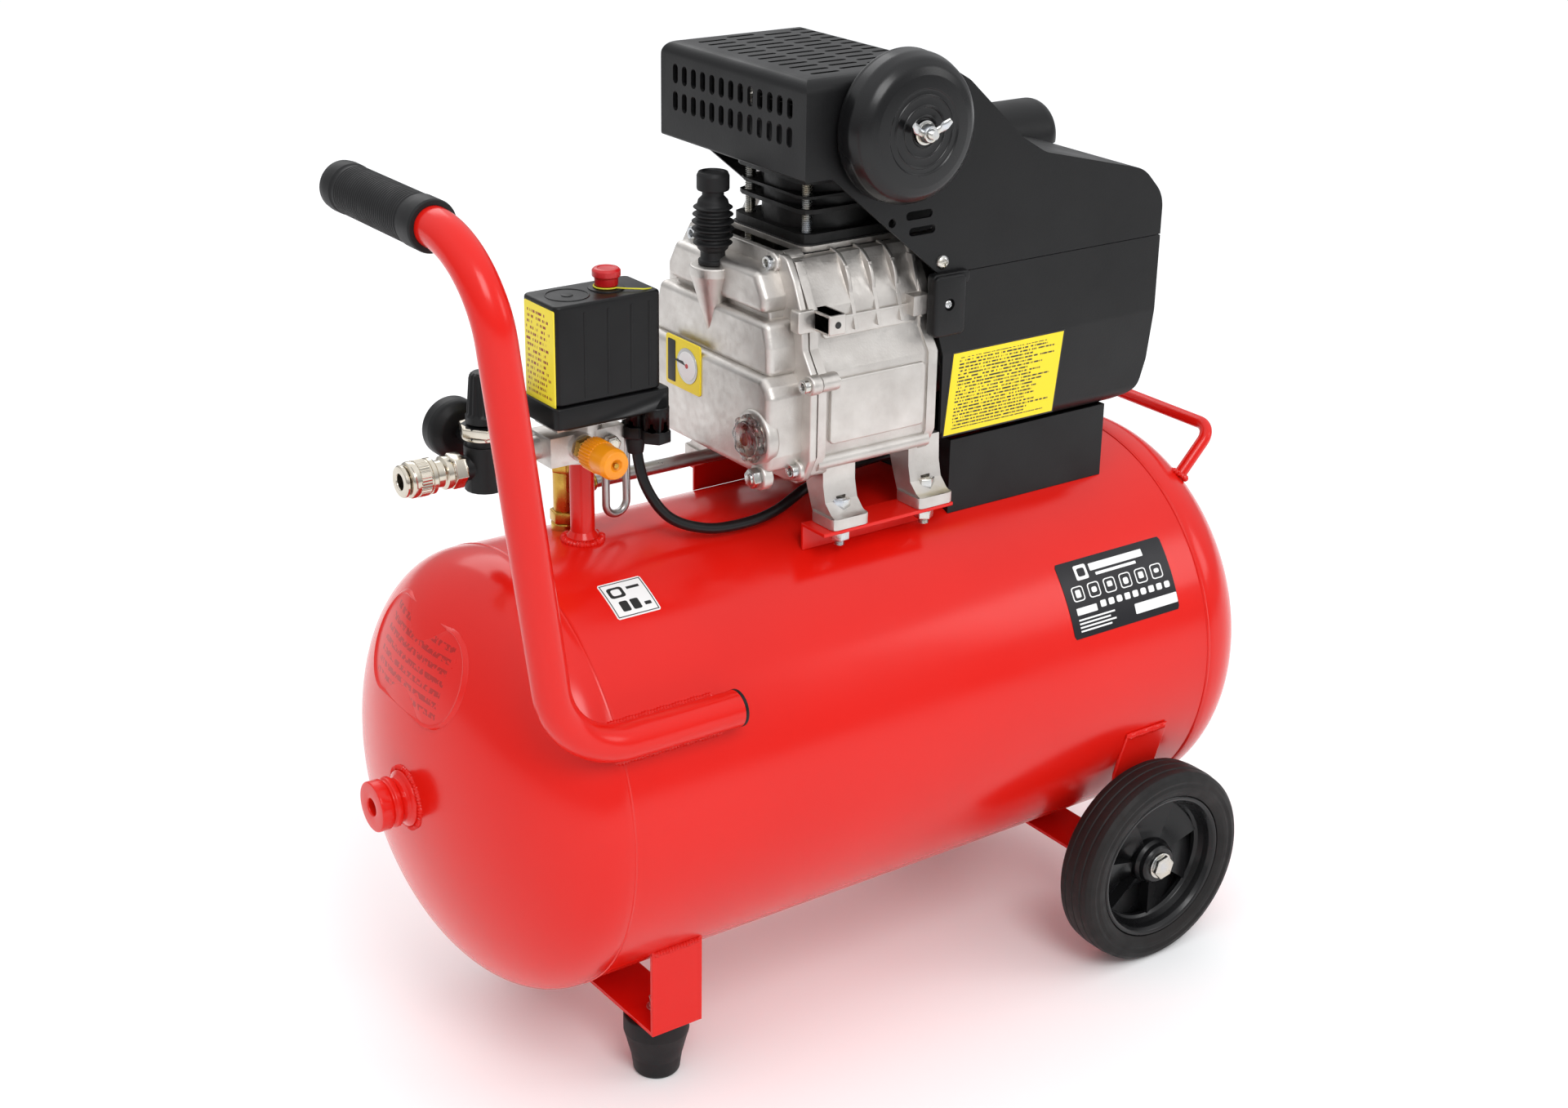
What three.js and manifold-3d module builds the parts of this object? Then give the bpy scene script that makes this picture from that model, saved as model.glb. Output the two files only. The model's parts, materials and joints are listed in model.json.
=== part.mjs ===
// Portable single-stage piston air compressor: a direct-drive pump and motor on a 50 litre receiver,
// with two wheels at the motor end and a bent push handle at the switch end.
// Millimetres, +Z up. -X is the handle and switch end, -Y is the side with the push handle.
import * as THREE from 'three';
import { mergeVertices } from 'three/addons/utils/BufferGeometryUtils.js';
import Module from 'manifold-3d';

const wasm = await Module();
wasm.setup();

// ---- driving dimensions -------------------------------------------------------------------------
const ORIGIN_SHIFT = 13; // the receiver's middle lies this far along +X from the centre of the box
const FIT = 0.3; // clearance kept between pieces that touch
const RECEIVER = { r: 160, wall: 2.5, seam: 269, head: 80, z: 226.5 };
const WHEEL = { x: 205, r: 81, inner: 153, outer: 189, rimR: 60, barrelR: 53, hubR: 15, boreR: 6.3, spokes: 7 };
const FOOT = { x: -203, y: 90, h: 48.4, rTop: 24, rBottom: 17, out: 118, high: 122 };
const STRAP = { t: 3, width: 42, low: 62.7 };
const HANDLE = { r: 12.7, bore: 11, y: 151, z: 310, xEnd: -178, xBend: -312, top: 650, lean: -0.13 };
const GRIP = { near: -92, far: 32, r: 15.5 };
const LIFT = { r: 5, y: 78, foot: [296, 354], corner: [331, 389] };
const RAIL = { x0: -66, x1: 50, y: 68, t: 2.5, flange: 28, top: 391 };
const BOLT = { front: -42, rear: 34, y: 82, r: 4.2 };
const LEG = { half: 14, pad: 16, reach: 14, thick: 8 };
const CASE = { x0: -70, x1: 36, bottom: 426, top: 583, wall: 5 };
const CRANK = { z: 502, throw: 20, shaftR: 11, pinR: 9, rod: 84 };
const COVER_SCREWS = [[46, 577], [91, 501], [78, 436]]; // [y, z] on the +Y side
const COVER = { cone: [-94, 3], glass: [-64, 461], plug: [-68, 433] };
const CYL = { x: -7, boreR: 23.5, linerR: 27, stud: 34, studR: 4, top: 632 };
const MOTOR = { r: 64, rotorR: 36, x0: 60, x1: 130 };
const CORNERS = [[-1, -1], [-1, 1], [1, -1], [1, 1]];
const SHROUD = { half: 87, wall: 2.5, seam: 560, x0: -82, x1: 247, bottom: 428 };
const FILTER = { x: -8, z: 671, r: 52, y0: -88, y1: -117 };
const SWITCH = { x0: -243, x1: -161, y0: -36, y1: 8, z0: 484, z1: 568, split: 499, wall: 2.5 };
const SWITCH_KNOB = [-190, -13];
const LEAD_GLAND = [-169, -14];
const MAINS_GLAND = [-163, -31];
const PIPE = { x: -204, y: 0, r: 8.5 };
const CHECK = { x: -200, y: 30, r: 10, port: 414 };
const VALVE = [-213, 461]; // [x, z] of the safety valve's axis
const REG = { x: -276, y: 5, r: 14, z0: 438, z1: 478, inlet: 459 };
const GAUGE = { y: 36, z: 468 };
const DRAIN = { x: -60 };
const COUPLER_Z = 455;

// ---- finishes -----------------------------------------------------------------------------------
const FINISH = {
  red: ['#c8201a', 0.25, 0.1], black: ['#1d1d1f', 0.5, 0], rubber: ['#161616', 0.85, 0],
  cast: ['#b9b8b4', 0.45, 0.7], zinc: ['#b8bcc0', 0.3, 0.9], brass: ['#b08d3c', 0.35, 0.9],
  nickel: ['#c3bfb4', 0.22, 1], clear: ['#d8d4cf', 0.1, 0], redPlastic: ['#c01818', 0.4, 0],
  amber: ['#e69a12', 0.4, 0], iron: ['#1a1a1b', 0.6, 0.2],
  steel: ['#9a9c9e', 0.4, 0.9],
};

// ---- solid helpers ------------------------------------------------------------------------------
function solid(geometry) {
  const bare = geometry.index ? geometry.toNonIndexed() : geometry;
  bare.deleteAttribute('normal');
  bare.deleteAttribute('uv');
  const merged = mergeVertices(bare, 1e-3);
  const kept = [];
  const index = merged.index.array;
  for (let i = 0; i < index.length; i += 3) {
    const [a, b, c] = [index[i], index[i + 1], index[i + 2]];
    if (a !== b && b !== c && c !== a) kept.push(a, b, c);
  }
  const made = new wasm.Manifold(new wasm.Mesh({
    numProp: 3,
    vertProperties: new Float32Array(merged.attributes.position.array),
    triVerts: new Uint32Array(kept),
  }));
  return made;
}

const join = (...pieces) => pieces.reduce((sum, piece) => sum.add(piece));
const cut = (piece, ...tools) => tools.reduce((left, tool) => left.subtract(tool), piece);

function box(x, y, z) {
  const geometry = new THREE.BoxGeometry(x[1] - x[0], y[1] - y[0], z[1] - z[0]);
  geometry.translate((x[0] + x[1]) / 2, (y[0] + y[1]) / 2, (z[0] + z[1]) / 2);
  return solid(geometry);
}

// turns a shape drawn as (u, v) with depth w: x -> (w, u, v), y -> (u, -w, v), z -> (u, v, w)
function aim(geometry, axis) {
  if (axis === 'x') {
    geometry.applyMatrix4(new THREE.Matrix4().set(0, 0, 1, 0, 1, 0, 0, 0, 0, 1, 0, 0, 0, 0, 0, 1));
  }
  if (axis === 'y') geometry.rotateX(Math.PI / 2);
  return geometry;
}

// an outline of [u, v] points extruded along an axis between two places
function slab(axis, outline, from, to) {
  const shape = new THREE.Shape(outline.map(([u, v]) => new THREE.Vector2(u, v)));
  const geometry = new THREE.ExtrudeGeometry(shape, { depth: to - from, bevelEnabled: false });
  geometry.translate(0, 0, axis === 'y' ? -to : from);
  return solid(aim(geometry, axis));
}

function rounded(u0, u1, v0, v1, r, steps = 3) {
  const points = [];
  const corners = [[u1 - r, v0 + r, -90], [u1 - r, v1 - r, 0], [u0 + r, v1 - r, 90], [u0 + r, v0 + r, 180]];
  for (const [cu, cv, start] of corners) {
    for (let i = 0; i <= steps; i += 1) {
      const angle = THREE.MathUtils.degToRad(start + (90 * i) / steps);
      points.push([cu + r * Math.cos(angle), cv + r * Math.sin(angle)]);
    }
  }
  return points;
}

function ring(cu, cv, r, sides, turn = 0) {
  return Array.from({ length: sides }, (_, i) => {
    const angle = (2 * Math.PI * i) / sides + turn;
    return [cu + r * Math.cos(angle), cv + r * Math.sin(angle)];
  });
}

// a round bar along an axis; its centre is given in the two other axes in x, y, z order
function bar(axis, r, from, to, cu, cv, sides = 20) {
  return slab(axis, ring(cu, cv, r, sides), from, to);
}

const hexBar = (axis, r, from, to, cu, cv) => slab(axis, ring(cu, cv, r, 6, Math.PI / 6), from, to);

// a profile of [radius, height] turned about an axis through the given centre
function turned(axis, profile, cu, cv, sides = 28) {
  const geometry = new THREE.LatheGeometry(profile.map(([r, h]) => new THREE.Vector2(r, h)), sides);
  geometry.rotateX(Math.PI / 2);
  if (axis === 'x') geometry.rotateY(Math.PI / 2);
  if (axis === 'y') geometry.rotateX(-Math.PI / 2);
  const place = { x: [0, cu, cv], y: [cu, 0, cv], z: [cu, cv, 0] }[axis];
  geometry.translate(...place);
  const made = solid(geometry);
  if (made.volume() > 0) return made;
  const flipped = geometry.clone();
  const order = flipped.index.array;
  for (let i = 0; i < order.length; i += 3) [order[i], order[i + 1]] = [order[i + 1], order[i]];
  return solid(flipped);
}

// a round section carried along straight runs joined by bends of one radius
function bentPath(points, bend, steps = 6) {
  const route = [points[0]];
  const straight = (target) => {
    const last = route[route.length - 1];
    for (const share of [0.2, 0.5, 0.8]) route.push(last.clone().lerp(target, share));
  };
  for (let i = 1; i < points.length - 1; i += 1) {
    const before = points[i - 1].clone().sub(points[i]).normalize();
    const after = points[i + 1].clone().sub(points[i]).normalize();
    const half = before.angleTo(after) / 2;
    const reach = bend / Math.tan(half);
    const centre = before.clone().add(after).normalize().multiplyScalar(bend / Math.sin(half)).add(points[i]);
    const start = points[i].clone().addScaledVector(before, reach).sub(centre);
    const end = points[i].clone().addScaledVector(after, reach).sub(centre);
    const turn = start.angleTo(end);
    straight(centre.clone().add(start));
    for (let k = 0; k <= steps; k += 1) {
      const a = Math.sin(((steps - k) / steps) * turn) / Math.sin(turn);
      const b = Math.sin((k / steps) * turn) / Math.sin(turn);
      route.push(centre.clone().addScaledVector(start, a).addScaledVector(end, b));
    }
  }
  straight(points[points.length - 1]);
  route.push(points[points.length - 1]);
  return new THREE.CatmullRomCurve3(route, false, 'centripetal');
}

function tube(path, r, sides, steps, bore = 0) {
  const outline = new THREE.Shape(ring(0, 0, r, sides).map(([u, v]) => new THREE.Vector2(u, v)));
  if (bore > 0) {
    outline.holes.push(new THREE.Path(ring(0, 0, bore, sides).map(([u, v]) => new THREE.Vector2(u, v))));
  }
  return solid(new THREE.ExtrudeGeometry(outline, { steps, extrudePath: path, bevelEnabled: false }));
}

const v3 = (x, y, z) => new THREE.Vector3(x, y, z);
const bothSides = (make) => [make(-1), make(1)];
// an outline drawn for +Y only, completed by its mirror image
const mirrored = (half) => [...half, ...half.slice().reverse().map(([u, v]) => [-u, v])];

// ---- the group ----------------------------------------------------------------------------------
const assembly = new THREE.Group();
assembly.position.x = ORIGIN_SHIFT;

function add(name, piece, finish) {
  const mesh = piece.getMesh();
  const geometry = new THREE.BufferGeometry();
  geometry.setAttribute('position', new THREE.BufferAttribute(new Float32Array(mesh.vertProperties), 3));
  geometry.setIndex(new THREE.BufferAttribute(new Uint32Array(mesh.triVerts), 1));
  geometry.computeVertexNormals();
  const [color, roughness, metalness] = FINISH[finish];
  const made = new THREE.Mesh(geometry, new THREE.MeshStandardMaterial({ color, roughness, metalness }));
  made.name = name;
  assembly.add(made);
  return piece;
}

// ---- receiver -----------------------------------------------------------------------------------
// a cylinder closed by two 2:1 elliptical heads; grow makes the same form a little larger for cutting
function receiverForm(grow) {
  const r = RECEIVER.r + grow;
  const head = RECEIVER.head + grow;
  const profile = [];
  for (let i = 0; i <= 5; i += 1) {
    const t = (i / 5) * (Math.PI / 2);
    profile.push([r * Math.sin(t), -RECEIVER.seam - head * Math.cos(t)]);
  }
  const right = profile.slice().reverse().map(([a, b]) => [a, -b]);
  return turned('x', [...profile, ...right], 0, RECEIVER.z, 28);
}

const receiverCutter = receiverForm(FIT);

function buildReceiver() {
  const shell = cut(
    receiverForm(0), receiverForm(-RECEIVER.wall),
    bar('z', PIPE.r + FIT, 350, 400, PIPE.x, PIPE.y, 12),
    bar('z', 8 + FIT, 350, 400, CHECK.x, CHECK.y, 12),
    bar('z', 4.5, 50, 90, DRAIN.x, 0, 10),
    bar('x', 8 + FIT, -360, -330, 0, RECEIVER.z, 12),
  );
  add('receiver_shell', shell, 'red');
  const tip = -RECEIVER.seam - RECEIVER.head;
  const boss = turned('x', [[0, tip + 8], [8, tip + 8], [8, tip - 1], [19, tip + 1], [20, tip - 3],
    [17, tip - 6], [16, tip - 10], [18, tip - 11], [18, tip - 24], [16.5, tip - 26], [0, tip - 26]], 0, RECEIVER.z, 18);
  const inside = bar('x', 8, tip - 5, tip + 7, 0, RECEIVER.z, 12);
  const bore = bar('x', 6, tip - 30, tip - 12, 0, RECEIVER.z, 10);
  add('end_boss', cut(join(cut(boss, receiverCutter), inside), bore), 'red');
  const oval = slab('x', rounded(-50, 80, 288, 352, 31, 5), -345, -300);
  add('rating_plate', cut(receiverForm(1.9).intersect(oval), receiverCutter), 'red');
}

// ---- feet and wheels ----------------------------------------------------------------------------
function strapAcross(x, outline) {
  return slab('x', outline, x - STRAP.width / 2, x + STRAP.width / 2);
}

function buildFeet() {
  const low = FOOT.h + FIT;
  const { out, high } = FOOT;
  const legs = mirrored([[out, low], [out, high], [out - STRAP.t, high], [out - STRAP.t, low + STRAP.t]]);
  const strap = cut(strapAcross(FOOT.x, legs), receiverCutter,
    ...bothSides((s) => bar('z', BOLT.r, low - 1, low + 10, FOOT.x, s * FOOT.y, 10)));
  add('front_foot_strap', strap, 'red');
  for (const [side, s] of [['near', -1], ['far', 1]]) {
    const foot = turned('z', [[0, 0], [FOOT.rBottom - 2, 0], [FOOT.rBottom, 2], [FOOT.rBottom + 1, 14],
      [FOOT.rTop - 1, 32], [FOOT.rTop, 36], [FOOT.rTop, FOOT.h], [0, FOOT.h]], FOOT.x, s * FOOT.y, 18);
    const insert = bar('z', 4.5, 12, FOOT.h + 1, FOOT.x, s * FOOT.y, 10);
    add(`front_foot_${side}`, cut(foot, insert), 'rubber');
  }
}

// the rim of one wheel: a dished disc with a pocket between each two blades
function wheelRim(s) {
  const { x, r: z, inner, outer, rimR, hubR, boreR, barrelR, spokes } = WHEEL;
  const profile = [[boreR, inner + 1], [hubR, inner + 1], [hubR, 166], [barrelR, 164], [barrelR, inner + 3],
    [rimR - FIT, inner + 3], [rimR - FIT, outer - 3], [barrelR + 1, outer - 4], [barrelR - 1, 170],
    [hubR + 2, 175], [hubR, outer - 7], [boreR, outer - 7], [boreR, inner + 1]];
  let rim = turned('y', profile.map(([r, h]) => [r, s * h]), x, z, 24);
  for (let i = 0; i < spokes; i += 1) {
    const start = (2 * Math.PI * i) / spokes + 0.07;
    const corner = (r, angle) => [x + r * Math.cos(start + angle), z + r * Math.sin(start + angle)];
    const pocket = [corner(20, 0), corner(47, 0.12), corner(48.5, 0.38), corner(47, 0.66), corner(22, 0.46)];
    rim = cut(rim, slab('y', pocket, ...(s < 0 ? [-180, -160] : [160, 180])));
  }
  return rim;
}

function buildWheels() {
  const { x, r, inner, outer, rimR } = WHEEL;
  const low = STRAP.low;
  const face = 147;
  const outline = mirrored([[face, low], [face, 150], [158, 190], [155, 191], [face - STRAP.t, 150.5],
    [face - STRAP.t, low + STRAP.t]]);
  const axleHole = (s) => bar('y', 6.1, Math.min(s * 140, s * 150), Math.max(s * 140, s * 150), x, r, 12);
  add('wheel_strap', cut(strapAcross(x, outline), receiverCutter, ...bothSides(axleHole)), 'red');
  for (const [side, s] of [['near', -1], ['far', 1]]) {
    const at = (a, b) => (s < 0 ? [-b, -a] : [a, b]);
    add(`wheel_rim_${side}`, wheelRim(s), 'black');
    const tread = [[rimR, inner + 2], [rimR + 8, inner], [r - 5, inner + 2], [r - 0.5, inner + 7],
      [r, (inner + outer) / 2], [r - 0.5, outer - 7], [r - 5, outer - 2], [rimR + 8, outer],
      [rimR, outer - 2], [rimR, inner + 2]];
    add(`tyre_${side}`, turned('y', tread.map(([a, h]) => [a, s * h]), x, r, 24), 'rubber');
    const head = hexBar('y', 10.5, ...at(outer - 6.5, outer), x, r);
    const shank = bar('y', 5.8, ...at(139, outer - 6), x, r, 12);
    add(`axle_bolt_${side}`, join(head, shank), 'zinc');
  }
}

// ---- handles ------------------------------------------------------------------------------------
function buildHandles() {
  const h = HANDLE;
  const rise = h.top - h.z;
  const topX = h.xBend + h.lean * rise;
  const points = [v3(h.xEnd, -h.y, h.z), v3(h.xBend, -h.y, h.z), v3(topX, -h.y, h.top),
    v3(topX, GRIP.far - 6, h.top)];
  add('push_handle', cut(tube(bentPath(points, 58), h.r, 12, 28, h.bore), receiverCutter), 'red');
  const plug = turned('x', [[0, h.xEnd - 14], [h.bore - 1, h.xEnd - 14], [h.bore - 1, h.xEnd + FIT],
    [h.r, h.xEnd + FIT], [h.r - 0.8, h.xEnd + 3], [0, h.xEnd + 3]], -h.y, h.z, 14);
  add('handle_end_plug', plug, 'black');
  const grip = turned('y', [[h.r + 1, GRIP.near], [GRIP.r, GRIP.near], [GRIP.r + 1, GRIP.near + 4],
    [GRIP.r, GRIP.near + 8], [GRIP.r, GRIP.far - 8], [GRIP.r + 0.5, GRIP.far - 3], [GRIP.r - 3, GRIP.far + 3],
    [0, GRIP.far + 4], [0, GRIP.far - 5.5], [h.r + 1, GRIP.far - 5.5], [h.r + 1, GRIP.near]], topX, h.top, 18);
  add('handle_grip', grip, 'rubber');
  const [fx, fz] = LIFT.foot;
  const [cx, cz] = LIFT.corner;
  const bow = [v3(fx - 6, -LIFT.y, fz - 8), v3(cx, -LIFT.y, cz), v3(cx, LIFT.y, cz), v3(fx - 6, LIFT.y, fz - 8)];
  add('lift_bar', cut(tube(bentPath(bow, 14, 4), LIFT.r, 8, 28), receiverCutter), 'red');
}

// ---- pump ---------------------------------------------------------------------------------------
function buildRails() {
  for (const [side, s] of [['near', -1], ['far', 1]]) {
    const web = [[s * RAIL.y, 355], [s * (RAIL.y + RAIL.t), 355], [s * (RAIL.y + RAIL.t), RAIL.top - RAIL.t],
      [s * (RAIL.y + RAIL.flange), RAIL.top - RAIL.t], [s * (RAIL.y + RAIL.flange), RAIL.top],
      [s * RAIL.y, RAIL.top]];
    const outline = s > 0 ? web : web.reverse();
    const holes = [BOLT.front, BOLT.rear].map((x) => bar('z', BOLT.r, 380, 390, x, s * BOLT.y, 10));
    add(`pump_rail_${side}`, cut(slab('x', outline, RAIL.x0, RAIL.x1), receiverCutter, ...holes), 'red');
  }
}

// the outline of the crankcase, half of it, from its bottom to its top
const caseHalf = (grow) => [[62 + grow, CASE.bottom - grow], [78 + grow, 432], [86 + grow, 448], [86 + grow, 506],
  [75 + grow, 522], [74 + grow, 548], [62 + grow, 568], [56 + grow, CASE.top - 4]];

function crankcaseLeg(x, s) {
  const top = RAIL.top + FIT;
  const { y, r } = BOLT;
  const { half, pad, reach, thick } = LEG;
  const side = [[56, 440], [79, 440], [80, 420], [83, 408], [90, top + 10], [y + reach - 1, top + thick],
    [y + reach - 1, top + 2], [70, top + 2], [62, 412], [56, 428]].map(([a, z]) => [s * a, z]);
  const [low, high] = [s * (y - reach), s * (y + reach)].sort((a, b) => a - b);
  const foot = slab('z', rounded(x - pad, x + pad, low, high, 4, 2), top, top + thick);
  const leg = join(slab('x', s > 0 ? side.reverse() : side, x - half, x + half), foot);
  return cut(leg, bar('z', r, top - 1, top + 20, x, s * y, 10));
}

function buildCrankcase() {
  const { x0, x1, top, wall } = CASE;
  let body = join(
    slab('x', mirrored(caseHalf(0)), x0, x1),
    slab('x', mirrored(caseHalf(5)), x0, x0 + 7),
    slab('x', mirrored(caseHalf(2)), x1 - 8, x1),
    slab('z', rounded(CYL.x - 46, x1, -46, 46, 8), 560, top),
  );
  for (const [y, z] of COVER_SCREWS) {
    body = join(body, ...bothSides((s) => bar('x', 6.5, x0, x0 + 14, s * y, z, 10)));
  }
  for (const x of [BOLT.front, BOLT.rear]) body = join(body, crankcaseLeg(x, -1), crankcaseLeg(x, 1));
  for (const x of [-30, -10, 10, 28]) {
    body = join(body, slab('x', mirrored([[80, 530], [66, 572]]), x - 1.5, x + 1.5));
  }
  body = join(body, box([-66, -52], [-95, -70], [535, 549]), box([16, 30], [-84, -70], [533, 547]));
  body = cut(
    body,
    slab('x', mirrored(caseHalf(-wall - 3)), x0 - 1, 24),
    bar('z', CYL.linerR + FIT, 550, 590, CYL.x, 0, 20),
    bar('x', CRANK.shaftR + FIT, 20, 40, 0, CRANK.z, 14),
    bar('y', 2.2, -96, -80, -59, 542, 8),
    ...bothSides((s) => bar('x', 2.3, x0 - 1, x0 + 12, s * 91, 501, 8)),
    ...CORNERS.map(([sx, sy]) => bar('z', CYL.studR + FIT, 566, 590, CYL.x + sx * CYL.stud, sy * CYL.stud, 10)),
  );
  add('crankcase', body, 'cast');
}

function buildCover() {
  const face = CASE.x0 - FIT;
  const { cone, glass, plug } = COVER;
  const upper = [[74, 500], [72, 522], [70, 546], [58, 562], [50, 566]];
  const lower = [[60, 430], [76, 436], [82, 450], [82, 494], [78, 500], [72, 512]];
  let cover = join(
    slab('x', mirrored(caseHalf(5)), face - 6, face),
    slab('x', mirrored(upper), -92, face),
    slab('x', mirrored(lower), -102, face),
  );
  for (const [y, z] of COVER_SCREWS) {
    cover = join(cover, ...bothSides((s) => bar('x', 6.5, face - 9, face, s * y, z, 10)));
  }
  cover = cut(
    cover,
    slab('x', mirrored([[66, 508], [64, 540], [52, 556]]), -88, face + 1),
    slab('x', mirrored([[62, 438], [74, 450], [74, 492], [64, 509]]), -98, face + 1),
  );
  cover = join(
    cover,
    turned('z', [[0, 522], [3, 524], [13.5, 560], [13.5, 567], [0, 567]], ...cone, 14),
    bar('x', 18, -106, -97, ...glass, 18),
    bar('x', 9, -104, -97, ...plug, 10),
  );
  cover = cut(
    cover,
    bar('z', 6.5, 545, 570, ...cone, 12),
    bar('x', 13, -107, -90, ...glass, 14),
    bar('x', 5, -105, -90, ...plug, 10),
    bar('y', 5, -10, 10, -90, 550, 8),
  );
  add('crankcase_cover', cover, 'cast');
  const window = [[0, -96], [12.6, -96], [12.6, -106.3], [17, -106.3], [17, -109], [13, -113], [0, -114]];
  add('oil_sight_glass', turned('x', window, ...glass, 18), 'clear');
  add('oil_drain_plug', join(bar('x', 4.6, -106, -92, ...plug, 10), hexBar('x', 7.5, -110, -104.3, ...plug)), 'zinc');
  const breather = [[0, 552], [6, 552], [6, 567.5], [9, 567.5], [8, 576], [11, 580]];
  for (let i = 0; i < 5; i += 1) breather.push([14.5, 583 + 6 * i], [11.5, 586 + 6 * i]);
  breather.push([8, 614], [8, 617], [10.5, 617.5], [10.5, 628], [9, 631], [0, 631]);
  add('oil_breather', turned('z', breather, ...cone, 14), 'black');
}

function buildCylinder() {
  const flangeBottom = CASE.top + FIT;
  const square = (half, z0, z1) => slab('z', rounded(CYL.x - half, CYL.x + half, -half, half, 9, 2), z0, z1);
  const stud = ([sx, sy], r, z0, z1) => bar('z', r, z0, z1, CYL.x + sx * CYL.stud, sy * CYL.stud, 8);
  const barrel = join(
    bar('z', CYL.linerR, 560, CYL.top, CYL.x, 0, 20),
    square(44, flangeBottom, 590.5),
    slab('z', ring(CYL.x, 0, 40, 12, Math.PI / 12), 590, CYL.top - 4),
    square(42, 604, 607),
    square(41, 614, 616),
    square(43, CYL.top - 7, CYL.top),
  );
  const bores = [bar('z', CYL.boreR, 555, CYL.top + 1, CYL.x, 0, 20),
    ...CORNERS.map((c) => stud(c, CYL.studR + 1, 580, CYL.top + 1))];
  add('cylinder', cut(barrel, ...bores), 'iron');
  const top = CYL.top + FIT;
  let head = join(square(43, top, top + 10), square(42, top + 9, 664));
  for (let i = -3; i <= 3; i += 1) {
    head = join(head, box([CYL.x - 38, CYL.x + 38], [i * 11 - 1.5, i * 11 + 1.5], [660, 674]));
  }
  const inlet = [CYL.x - 1, 655];
  const outlet = [CYL.x + 4, 652];
  head = join(head, bar('y', 13, -52, -30, ...inlet, 14), bar('y', 11, 30, 56, ...outlet, 12));
  head = cut(
    head,
    bar('z', 20, top - 1, top + 3, CYL.x, 0, 14),
    bar('y', 9, -53, -10, ...inlet, 12),
    bar('y', 5.7, 36, 57, ...outlet, 10),
    ...CORNERS.map((c) => stud(c, CYL.studR + FIT, top - 1, 690)),
  );
  add('cylinder_head', head, 'iron');
  CORNERS.forEach((c, i) => {
    const nut = slab('z', ring(CYL.x + c[0] * CYL.stud, c[1] * CYL.stud, 7, 6), 674.5, 681);
    add(`head_stud_${i + 1}`, join(stud(c, CYL.studR, 567, 684), nut), 'zinc');
  });
}

function buildRunningGear() {
  const pin = CRANK.z + CRANK.throw;
  const balance = [...ring(0, CRANK.z, 17, 16).slice(0, 9), ...ring(0, CRANK.z, 40, 16).slice(9, 16)];
  const crank = join(
    slab('x', balance, 6, 18),
    slab('x', mirrored([[16, CRANK.z - 2], [12, pin + 11]]), 6, 18),
    bar('x', CRANK.pinR, 1, 7, 0, pin, 12),
    bar('x', CRANK.shaftR, 17, 196, 0, CRANK.z, 12),
  );
  add('crankshaft', crank, 'steel');
  const wrist = pin + CRANK.rod;
  const rod = join(
    bar('x', 16, -14, 0.4, 0, pin, 14),
    bar('x', 10, -14, 0, 0, wrist, 12),
    slab('x', mirrored([[8, pin], [5.5, wrist]]), -11, -3),
    box([-9, -5], [-2.5, 2.5], [pin - 32, pin - 12]),
  );
  const bigEnd = bar('x', CRANK.pinR + 0.6, -16, 2, 0, pin, 12);
  const smallEnd = bar('x', 6.3, -16, 2, 0, wrist, 10);
  add('connecting_rod', cut(rod, bigEnd, smallEnd), 'cast');
  const skirt = [[0, wrist - 18], [23, wrist - 18], [23, wrist + 8], [22, wrist + 8.5], [22, wrist + 11],
    [23, wrist + 11.5], [23, wrist + 18], [0, wrist + 18]];
  const piston = cut(turned('z', skirt, CYL.x, 0, 18), box([-15, 1], [-18, 18], [wrist - 20, wrist + 12]));
  add('piston', join(piston, bar('x', 6, -27, 13, 0, wrist, 10)), 'cast');
}

function buildMotor() {
  const { r, rotorR, x0, x1 } = MOTOR;
  const along = (radius, from, to, sides) => bar('x', radius, from, to, 0, CRANK.z, sides);
  const bore = CRANK.shaftR + FIT;
  const frame = join(along(r, CASE.x1 + FIT, x0 + 1, 20), along(r - 4, x0, x1, 20), along(r, x1 - 1, x1 + 14, 20));
  add('motor_stator', cut(frame, along(rotorR + 1, CASE.x1 + 8, x1 + 6, 18), along(bore, 30, x1 + 20, 14)), 'cast');
  add('motor_rotor', cut(along(rotorR, x0 - 6, x1, 18), along(bore, x0 - 8, x1 + 1, 12)), 'steel');
  const hubX = 173;
  const blade = box([-11, 11], [-1.3, 1.3], [15, 62]).rotate([0, 0, 14]);
  let fan = cut(along(18, hubX - 13, hubX + 13, 14), along(bore, hubX - 15, hubX + 17, 12));
  for (let i = 0; i < 7; i += 1) {
    fan = join(fan, blade.rotate([(360 * i) / 7, 0, 0]).translate([hubX, 0, CRANK.z]));
  }
  add('cooling_fan', fan, 'black');
}

// side view of the upper moulding; inset draws it a wall's thickness smaller
function shroudSide(inset) {
  const front = SHROUD.x0 + inset;
  const rear = SHROUD.x1 - inset;
  return [[front, 640], [front, 699], [front + 7, 707 - inset], [32, 707 - inset], [52 - inset / 2, 697 - inset],
    [108 - inset / 2, 648 - inset], [124, 637 - inset], [218, 612 - inset], [238 - inset / 2, 600 - inset],
    [rear, 576], [rear, SHROUD.seam + FIT]];
}

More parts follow.
